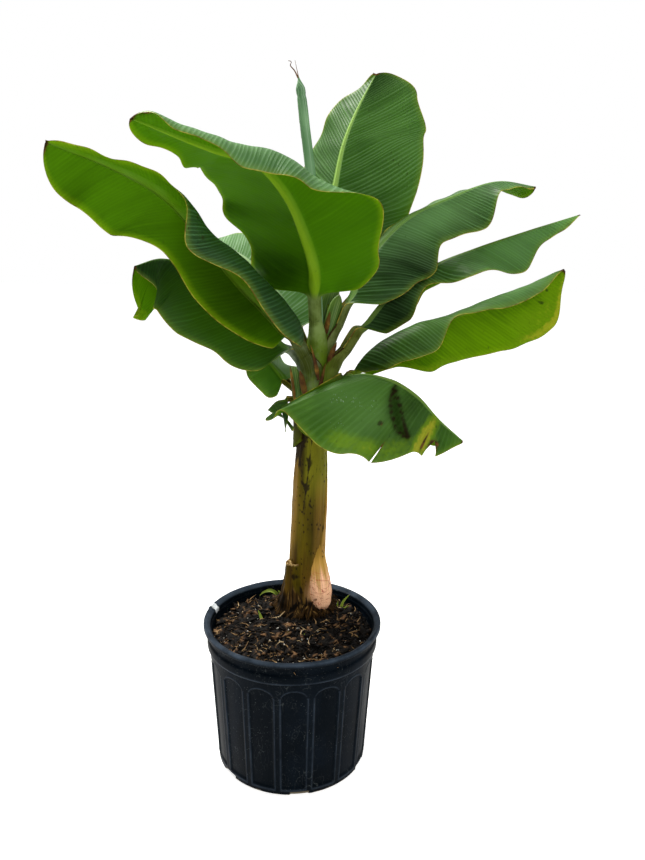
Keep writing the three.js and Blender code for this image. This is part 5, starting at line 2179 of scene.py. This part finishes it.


# Among the leaves' stains, lit is painted light and dim is painted shade.
LEAVES: tuple[Leaf, ...] = (
    Leaf(
        "left_upper",
        ((40, 60, 780), (22, 42, 825), (2, 22, 868)),
        ((-40, -10, 920), (-85, -45, 970), (-145, -85, 1045), (-205, -130, 1115),
         (-280, -165, 1155), (-370, -190, 1185)),
        Half(115, (4, 3, 0), (40, 45, 58, 30, 55, 60, 60), (-130, -150, -150, -160, -60, -30, 0),
             (1, 1.15, 0.85, 0.85, 0.3, 0.15, 0.15), (-20, 0, 15, 15)),
        Half(140, (4, 3, 0.3), (-90, -90, -80, -80, -75, -80, -70), (20, 20, 10, 10, 0, 0, 0),
             (0.5, 0.56, 0.6, 0.5, 0.76, 0.62, 0.75), (-20, 0, 15, 10)),
        0.25, 0.7, 3, 14,
        greens(
            (10, 34, 12), (34, 68, 28), (32, 62, 1), (54, 92, 2),
            (132, 146, 104), (66, 76, 24), (74, 104, 10), (84, 128, 84), 0.45,
        ),
        order=3.6, wrap=132, sweep=0.6,
        stains_and_light=stains_and_light(
            dark=((0.55, -0.62, 5, 4), (0.5, -0.7, 4, 4)),
            lit=((0.53, 0.1, 60, 30, 0.7),),
            dim=((0.3, 0.4, 130, 70, 0.7), (0.2, -0.6, 120, 80, 0.5)),
        ),
    ),
    Leaf(
        "front",
        ((50, 60, 835), (40, 45, 885), (36, 20, 940)),
        ((35, -5, 995), (20, -35, 1050), (-15, -80, 1125), (-55, -115, 1165),
         (-120, -165, 1180), (-230, -230, 1215)),
        Half(150, (3, 3, 0), (10, 15, 15, 30, 40, 40, 40), (0, 0, -10, -90, -120, -90, -60),
             (0.65, 0.8, 1.05, 1, 0.7, 0.5, 0.5), (-15, 0, 10, 5)),
        Half(160, (0, 3, 0.5), (10, 15, 15, 10, 0, 0, 0), (0, 0, -10, -20, -20, -40, -60),
             (0.55, 1, 1.3, 1.15, 0.65, 0.3, 0.3), (-15, 0, 10, 5)),
        0.15, 0.8, 4, 12.5,
        greens(
            (56, 96, 50), (92, 134, 80), (30, 66, 1), (50, 88, 4),
            (140, 164, 92), (92, 110, 46), (122, 154, 20), (140, 178, 132), 0.45,
        ),
        order=2.0, wrap=150, sweep=0.4,
        stains_and_light=stains_and_light(
            dim=((0.08, 0.5, 50, 90, 0.35),), lit=((0.16, -0.5, 90, 90, 0.5),), dry=((0.97, -0.6, 8, 10),),
        ),
    ),
    Leaf(
        "back",
        ((60, 95, 865), (55, 115, 930), (55, 130, 1000)),
        ((60, 145, 1080), (72, 158, 1155), (88, 172, 1230), (112, 182, 1290), (148, 192, 1358)),
        Half(130, (4, 3, 0), (-55, -55, -55, -50, -40), (0, 0), (0.8, 0.9, 1, 0.66, 0.2), (0, 5, 10, 0)),
        Half(170, (3, 3, 0.5), (-12, -12, 8, 10, 5), (0, 0, 0, -10, -10),
             (0.8, 0.87, 0.92, 0.97, 0.9, 0.72, 0.5),
             (-20, 0, 20, 46)),
        0.2, 0.6, 3.5, 11,
        greens(
            (30, 70, 14), (72, 112, 50), (34, 64, 12), (60, 100, 26),
            (96, 110, 50), (60, 70, 22), (166, 204, 104), (112, 154, 98), 0.4,
        ),
        face=(0, -1, 0.3), order=0.8, wrap=150, sweep=0.5,
        stains_and_light=stains_and_light(dim=((0.55, -0.5, 170, 60, 0.3), (0.96, 0.2, 50, 60, 0.7), (0.14, 0.5, 120, 90, 0.6))),
    ),
    Leaf(
        "right_upper",
        ((65, 80, 830), (80, 82, 880), (95, 85, 920)),
        ((150, 105, 1030), (205, 120, 1085), (295, 130, 1130), (390, 130, 1160), (455, 120, 1150)),
        Half(110, (4, 3, 0), (10, 10, 0, -30), (0, 0), (0.12, 0.12, 0.12, 0.12, 0.6, 0.6, 0.6),
             (-10, 5, 15, 15)),
        Half(130, (4, 3, 0.5), (-30, -35, -55, -60, -65, -30, -10), (-40, -30, -20, 0, 0, 0, 0),
             (0.7, 0.86, 0.92, 0.64, 0.7, 0.34, 0.25), (0, 5, 15, 15)),
        0.25, 0.7, 3, 11,
        greens(
            (12, 36, 6), (64, 104, 54), (24, 52, 2), (70, 108, 24),
            (140, 154, 96), (92, 104, 48), (104, 140, 70), (104, 144, 92), 0.5,
        ),
        order=1.2, wrap=140, sweep=0.45,
        stains_and_light=stains_and_light(lit=((0.55, 0.3, 110, 40, 0.9),), dim=((0.24, 0.6, 70, 60, 0.8),)),
    ),
    Leaf(
        "right_middle",
        ((60, 68, 785), (94, 68, 838), (117, 75, 875)),
        ((170, 90, 940), (260, 109, 1001), (345, 115, 1035), (450, 120, 1070), (545, 120, 1100)),
        Half(100, (4, 3, 0), (-30, -60, -75, -60, -20, -10, -10), (0, 0),
             (1, 0.95, 0.46, 0.5, 0.9, 0.9, 0.9),
             (0, 5, 10, 10)),
        Half(115, (3, 3, 0.5), (-80, -75, -60, -25, -50, -50, -40), (0, 0),
             (0.7, 0.62, 0.3, 0.77, 0.8, 0.4, 0.3),
             (0, 5, 10, 10)),
        0.25, 0.6, 2, 14,
        greens(
            (12, 36, 6), (66, 106, 50), (40, 70, 8), (92, 132, 50),
            (124, 136, 66), (84, 94, 32), (84, 112, 48), (100, 142, 88), 0.5,
        ),
        order=4.2, wrap=140, sweep=0.45,
        stains_and_light=stains_and_light(
            dim=((0.14, 0.5, 90, 110, 1.0), (0.14, -0.5, 90, 110, 1.0)),
            lit=((0.72, 0.4, 110, 60, 0.9),),
        ),
    ),
    Leaf(
        "right_lower",
        ((70, 57, 758), (88, 54, 775), (106, 52, 794)),
        ((160, 47, 845), (250, 40, 895), (335, 40, 928), (420, 40, 960), (500, 45, 1000)),
        Half(130, (5, 3, 0), (-90, -85, -80, -80, -80, -85, -85), (10, 0, 0, 0, 0, 0, 0),
             (0.3, 0.4, 0.72, 0.75, 0.85, 0.8, 0.4), (0, 5, 15, 10)),
        Half(110, (4, 3, 0.5), (50, 45, 45, 20, 40, 40, 30), (-150, -150, -160, -40, -110, -110, -60),
             (0.5, 0.9, 1.05, 0.4, 0.6, 0.5, 0.3), (0, 5, 15, 10)),
        0.25, 0.75, 2.2, 11,
        greens(
            (18, 42, 2), (56, 92, 28), (54, 88, 1), (100, 140, 1),
            (96, 110, 40), (56, 66, 14), (112, 136, 44), (100, 142, 84), 0.45,
        ),
        order=4.8, wrap=130, sweep=0.45,
        stains_and_light=stains_and_light(
            dark=((0.843, -0.41, 4, 4), (0.85, -0.45, 4, 3), (0.895, -0.32, 3, 4), (0.835, -0.36, 3, 3)),
            yellow=((0.84, -0.92, 90, 14, 1.4), (0.84, -0.7, 80, 50, 0.8), (0.3, -0.95, 90, 12, 0.9)),
            dim=((0.16, 0.5, 110, 80, 0.5),),
            lit=((0.75, 0.4, 110, 60, 0.9),),
            dry=((0.99, 0.5, 10, 20),),
        ),
    ),
    Leaf(
        "front_low",
        ((55, 58, 752), (76, 36, 776), (94, 8, 800)),
        ((133, -22, 810), (187, -67, 804), (222, -102, 785), (256, -132, 750), (296, -147, 716)),
        Half(95, (8, 3, 0), (-10, -30, -50, -40), (0, 0), (0.2, 0.7, 1, 1), (-20, 0, 0)),
        Half(200, (5, 3, 0.5), (-30, -26, -50, -76, -80, -80), (-10, -20, -10, -10, -10, 0),
             (1.04, 0.93, 0.93, 0.8, 0.38, 0.12), (-64, -46, -14, 14, 30),
             (Tear(0.615, 0.007, 0.3), Tear(0.84, 0.03, 0.5))),
        0.1, 0.75, 3, 11,
        greens(
            (36, 70, 8), (72, 112, 30), (40, 66, 4), (70, 104, 12),
            (96, 112, 44), (60, 70, 18), (110, 138, 60), (88, 126, 66), 0.22,
        ),
        order=5.5, wrap=120, sweep=0.0,
        stains_and_light=stains_and_light(
            yellow=((0.47, 0.84, 24, 26, 0.7), (0.56, 0.86, 22, 24, 0.8), (0.78, 0.6, 13, 60, 1.5),
                    (0.66, 0.8, 40, 40, 0.5), (0.8, -0.7, 30, 30, 1.0)),
            dry=((0.79, 0.7, 2, 30, 0.8), (0.53, 0.53, 6, 2, 1.0), (0.548, 0.49, 2, 6, 1.0)),
            lit=((0.93, -0.4, 30, 40, 1.0), (0.36, 0.4, 90, 70, 0.9)),
            pale=((0.33, 0.46, 22, 40, 0.8), (0.42, 0.36, 30, 22, 0.8), (0.4, 0.66, 12, 30, 0.8)),
            dim=((0.6, 0.2, 26, 40, 0.7), (0.66, 0.6, 30, 50, 0.5)),
            dark=((0.538, 0.51, 2.6, 3.5, 1.4),),
        ) + slit_stains_and_shade(),
    ),
    Leaf(
        "left_lower",
        ((25, 75, 795), (10, 74, 815), (-5, 70, 835)),
        ((-75, 75, 892), (-140, 65, 950), (-200, 50, 996), (-250, 35, 1008), (-295, 20, 994)),
        Half(125, (4, 3, 0), (-50, -50, -60, -60, -60), (-10, -10, -20, -20, -20),
             (0.8, 0.87, 1, 0.86, 0.4),
             (0, 5, 15, 10)),
        Half(100, (4, 3, 0.5), (-10, -10, -30, -80, -85), (0, 0, 0, -10, -10), (1, 1, 1, 1.35, 1.25),
             (0, 5, 15, 35)),
        0.2, 0.7, 3, 11,
        greens(
            (6, 26, 0), (20, 50, 6), (44, 80, 1), (72, 114, 2),
            (140, 152, 130), (74, 88, 50), (60, 90, 20), (64, 108, 48), 0.4,
        ),
        order=3.0, wrap=130, sweep=0.45,
        stains_and_light=stains_and_light(dim=((0.5, 0.2, 150, 40, 0.6),), yellow=((0.86, 0.9, 70, 12, 0.8),)),
    ),
    Leaf(
        "left_small",
        ((25, 80, 730), (4, 97, 750), (-22, 112, 768)),
        ((-34, 126, 782), (-56, 140, 804), (-92, 150, 838)),
        Half(92, (6, 3, 0), (-50, -70, -60), (0, 0), (0.62, 0.62, 0.5), (-42, -10, 0, 10)),
        Half(80, (6, 3, 0.5), (-10, -10, -10), (0, 0), (1, 1), (0, 5, 15, 10)),
        0.25, 0.5, 2.2, 9,
        greens(
            (34, 72, 10), (82, 122, 40), (56, 92, 8), (90, 128, 30),
            (84, 90, 14), (62, 60, 6), (90, 120, 36), (30, 66, 12), 0.45,
        ),
        order=4.6, wrap=120,
    ),
    Leaf(
        "back_left",
        ((30, 90, 815), (18, 100, 842), (5, 110, 870)),
        ((-25, 140, 915), (-65, 175, 965), (-120, 215, 1010), (-190, 260, 1030), (-260, 300, 1010)),
        Half(90, (6, 3, 0), (0, -10, -30, -40), (0, 0), (0.5, 0.8, 1, 1), (-10, 5, 15, 15)),
        Half(105, (6, 3, 0.5), (20, 20, 10), (0, 0), (1, 1), (-10, 5, 15, 15)),
        0.25, 0.5, 2.2, 10,
        greens(
            (50, 94, 40), (92, 130, 84), (38, 72, 8), (66, 106, 28),
            (110, 122, 66), (66, 76, 26), (150, 178, 130), (150, 178, 140), 0.6,
        ),
        order=2.4, wrap=130,
    ),
    Leaf(
        "torn",
        ((20, 66, 738), (2, 60, 742), (-14, 54, 744)),
        ((-34, 50, 740), (-52, 46, 722)),
        Half(70, (10, 2, 0), (-55, -70, -70), (0, 0), (0.9, 0.95, 0.5), (5, 5),
             (Tear(0.42, 0.06, 0.4), Tear(0.68, 0.06, 0.7))),
        Half(22, (10, 2, 0.5), (-30, -40), (0, 0), (1, 1), (20, 20), (Tear(0.55, 0.06, 0.7),)),
        0.3, 0.5, 2, 7,
        greens(
            (16, 42, 6), (38, 68, 14), (20, 44, 4), (46, 76, 12),
            (80, 84, 20), (48, 46, 8), (60, 80, 20), (50, 80, 30),
        ),
        order=5.0, wrap=90, span=40,
    ),
)

SHOOTS = (
    (
        (((-36, 139, 270), (-41, 138, 284), (-55, 138, 292), (-70, 136, 288), (-78, 133, 281)), 8.0),
        (((-34, 139, 270), (-33, 141, 283), (-38, 144, 291)), 6.0),
    ),
    (
        (((-61, 20, 268), (-65, 22, 284), (-72, 26, 303)), 7.5),
        (((-60, 20, 268), (-56, 14, 280), (-60, -6, 276)), 6.0),
    ),
    (
        (((-9, -34, 268), (-9, -38, 278), (-7, -42, 292)), 5.0),
        (((20, -36, 268), (22, -38, 278), (27, -40, 288)), 4.5),
    ),
    (
        (((72, 18, 268), (68, 15, 281), (62, 12, 292)), 7.0),
        (((73, 18, 268), (80, 16, 279), (94, 14, 282)), 6.0),
        (((73, 19, 268), (75, 17, 280), (72, 14, 288)), 4.0),
    ),
    (
        (((97, 74, 268), (100, 72, 288), (104, 72, 300), (118, 72, 318)), 6.5),
        (((96, 74, 268), (92, 72, 290), (94, 70, 304)), 5.0),
        (((97, 75, 268), (108, 74, 286), (118, 74, 292)), 4.0),
    ),
)

BARK_BROWN = GrainFinish((4, 3, 2), (15, 11, 8), (108, 80, 54), 55.0, 500.0, 1.0, 0.75)
STRAW = GrainFinish((84, 62, 38), (140, 112, 76), (196, 172, 132), 40.0, 500.0, 0.6, 0.8)
PERLITE = GrainFinish((140, 136, 126), (186, 182, 172), (216, 212, 204), 80.0, 900.0, 0.8, 0.85)
DARK_SHRED = GrainFinish((2, 2, 2), (7, 5, 4), (24, 17, 12), 70.0, 600.0, 1.0, 0.7)

LITTER: tuple[Litter, ...] = (
    Litter("bark_chips", 7000, 10, 32, 30, 3, 1.6, (1.0, 0.46, 0.2), 0.08, 7, BARK_BROWN),
    Litter("dark_shreds", 26000, 6, 20, 44, 5, 1.2, (1.0, 0.26, 0.14), 0.2, 5, DARK_SHRED),
    Litter("straw_bits", 3400, 7, 20, 26, 8, 2.4, (1.0, 0.16, 0.08), 0.16, 5, STRAW),
    Litter("root_threads", 800, 16, 44, 18, 11, 2.4, (1.0, 0.06, 0.05), 0.28, 6, STRAW),
    Litter("perlite", 1500, 2.2, 5, 90, 13, 1.8, (1.0, 0.85, 0.75), 0.0, 7, PERLITE),
)


@dataclass(frozen=True)
class Studio:
    """Pale floor, soft lights and the camera at the photograph's angle."""

    eye: Point = (52.0, -1422.0, 1057.0)
    pitch: float = -14.3
    yaw: float = 0.12
    roll: float = 0.9
    focal_pixels: float = 770.0
    frame_height: float = 860.0
    sensor: float = 36.0
    dim: float = 0.46

    def floor(self) -> None:
        """Lays the floor."""
        g = Graph("pale_floor")
        tone = g.mix(g.cloud(g.place(), 2.0), (206, 206, 206), (212, 212, 212))
        rough = g.spread(g.cloud(g.place(), 9.0), 0.7, 0.9)
        mesh = bpy.data.meshes.new("floor")
        mesh.from_pydata([(-9, -6, 0), (9, -6, 0), (9, 14, 0), (-9, 14, 0)], [], [(0, 1, 2, 3)])
        mesh.materials.append(g.finish(tone, rough, g.cloud(g.place(), 300.0), 0.05, 0.1, glow=0.72))
        linked("floor", mesh)

    def lamp(self, name: str, place: Point, target: Point, size: float, power: float, tint: Point) -> None:
        """Hangs one soft lamp.

        Args:
            name: its name.
            place: where it hangs, in metres.
            target: what it shines at, in metres.
            size: side of its square, in metres.
            power: watts.
            tint: its colour.
        """
        data = bpy.data.lights.new(name, "AREA")
        data.shape = "SQUARE"
        data.size = size
        data.energy = power
        data.color = tint
        hung = linked(name, data)
        hung.location = place
        hung.rotation_euler = (Vector(target) - Vector(place)).to_track_quat("-Z", "Y").to_euler()

    def light(self) -> None:
        """Sets the sky and the lamps."""
        world = bpy.data.worlds.new("studio")
        world.use_nodes = True
        steps = Steps(world.node_tree)
        look = steps.node("ShaderNodeTexCoord", {}).outputs["Generated"]
        back = steps.node("ShaderNodeSeparateXYZ", {0: look}).outputs["Y"]
        fade = {"Value": back, "From Min": 0.1, "From Max": 0.75, "To Min": self.dim, "To Max": 1.0}
        strength = steps.node("ShaderNodeMapRange", fade).outputs["Result"]
        sky = world.node_tree.nodes["Background"]
        sky.inputs["Color"].default_value = (1.0, 1.0, 1.0, 1.0)
        world.node_tree.links.new(strength, sky.inputs["Strength"])
        bpy.context.scene.world = world
        bpy.context.scene.view_settings.view_transform = "Standard"
        middle = (0.0, 0.05, 0.8)
        self.lamp("key", (-1.3, 1.2, 3.4), middle, 0.9, 200.0, (1.0, 0.98, 0.93))
        self.lamp("front", (0.9, -2.4, 2.6), middle, 1.6, 44.0, (1.0, 0.99, 0.97))

    def camera(self) -> None:
        """Places the camera."""
        pitch, yaw, roll = (math.radians(a) for a in (self.pitch, self.yaw, self.roll))
        ahead = Vector((math.sin(yaw) * math.cos(pitch), math.cos(yaw) * math.cos(pitch), math.sin(pitch)))
        right = Vector((math.cos(yaw), -math.sin(yaw), 0.0))
        up = right.cross(ahead)
        across = right * math.cos(roll) + up * math.sin(roll)
        above = up * math.cos(roll) - right * math.sin(roll)
        data = bpy.data.cameras.new("camera")
        data.sensor_fit = "VERTICAL"
        data.sensor_height = self.sensor
        data.lens = self.focal_pixels * self.sensor / self.frame_height
        camera = linked("camera", data)
        turn = Matrix((across, above, -ahead)).transposed().to_4x4()
        camera.matrix_world = Matrix.Translation(Vector(self.eye) * MM) @ turn
        bpy.context.scene.camera = camera


def settle(piece: bpy.types.Object, slot: str, *nodes: str) -> None:
    """Lets a piece ride on the plant and stand for its CAD nodes, which it hides.

    Args:
        piece: the piece.
        slot: the record's material slot; not used.
        *nodes: CAD nodes that it replaces.
    """
    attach(piece, BODY)
    if nodes:
        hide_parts(*nodes)
    log.info("%s: %d faces", piece.name, len(piece.data.polygons))


def main() -> None:
    """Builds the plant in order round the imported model."""
    logging.basicConfig(level=logging.INFO, format="%(message)s")
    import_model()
    studio = Studio()
    studio.camera()
    studio.light()
    studio.floor()

    pot = NurseryPot()
    settle(pot.build(), "pot", "pot")
    settle(RimTape().build(), "pot")

    soil = PottingSoil()
    edge = pot.inner_radius(soil.top) - soil.top_gap
    settle(soil.build(edge, pot.inner_radius(pot.floor) - soil.foot_gap), "soil", "soil")
    ground = soil.ground(edge)
    for kind in LITTER:
        settle(kind.build(ground), "soil")
    bpy.data.objects.remove(ground)

    finishes = {}
    for leaf in LEAVES:
        upper = leaf.finish[0].material(f"{leaf.name}_{Side.UPPER.value}")
        under = leaf.finish[1].material(f"{leaf.name}_{Side.UNDER.value}")
        node = "torn_leaf" if leaf.name == "torn" else f"leaf_{leaf.name}"
        settle(leaf.build((upper, under)), "leaf", node)
        finishes[leaf.name] = under
    settle(Pseudostem().build(LEAVES, finishes), "stem", "pseudostem")
    settle(SpearLeaf().build(), "young_leaf", "spear_leaf")
    settle(Sprouts(SHOOTS).build(), "young_leaf")
    settle(CrownScraps().build(), "stem")


if __name__ == "__main__":
    main()
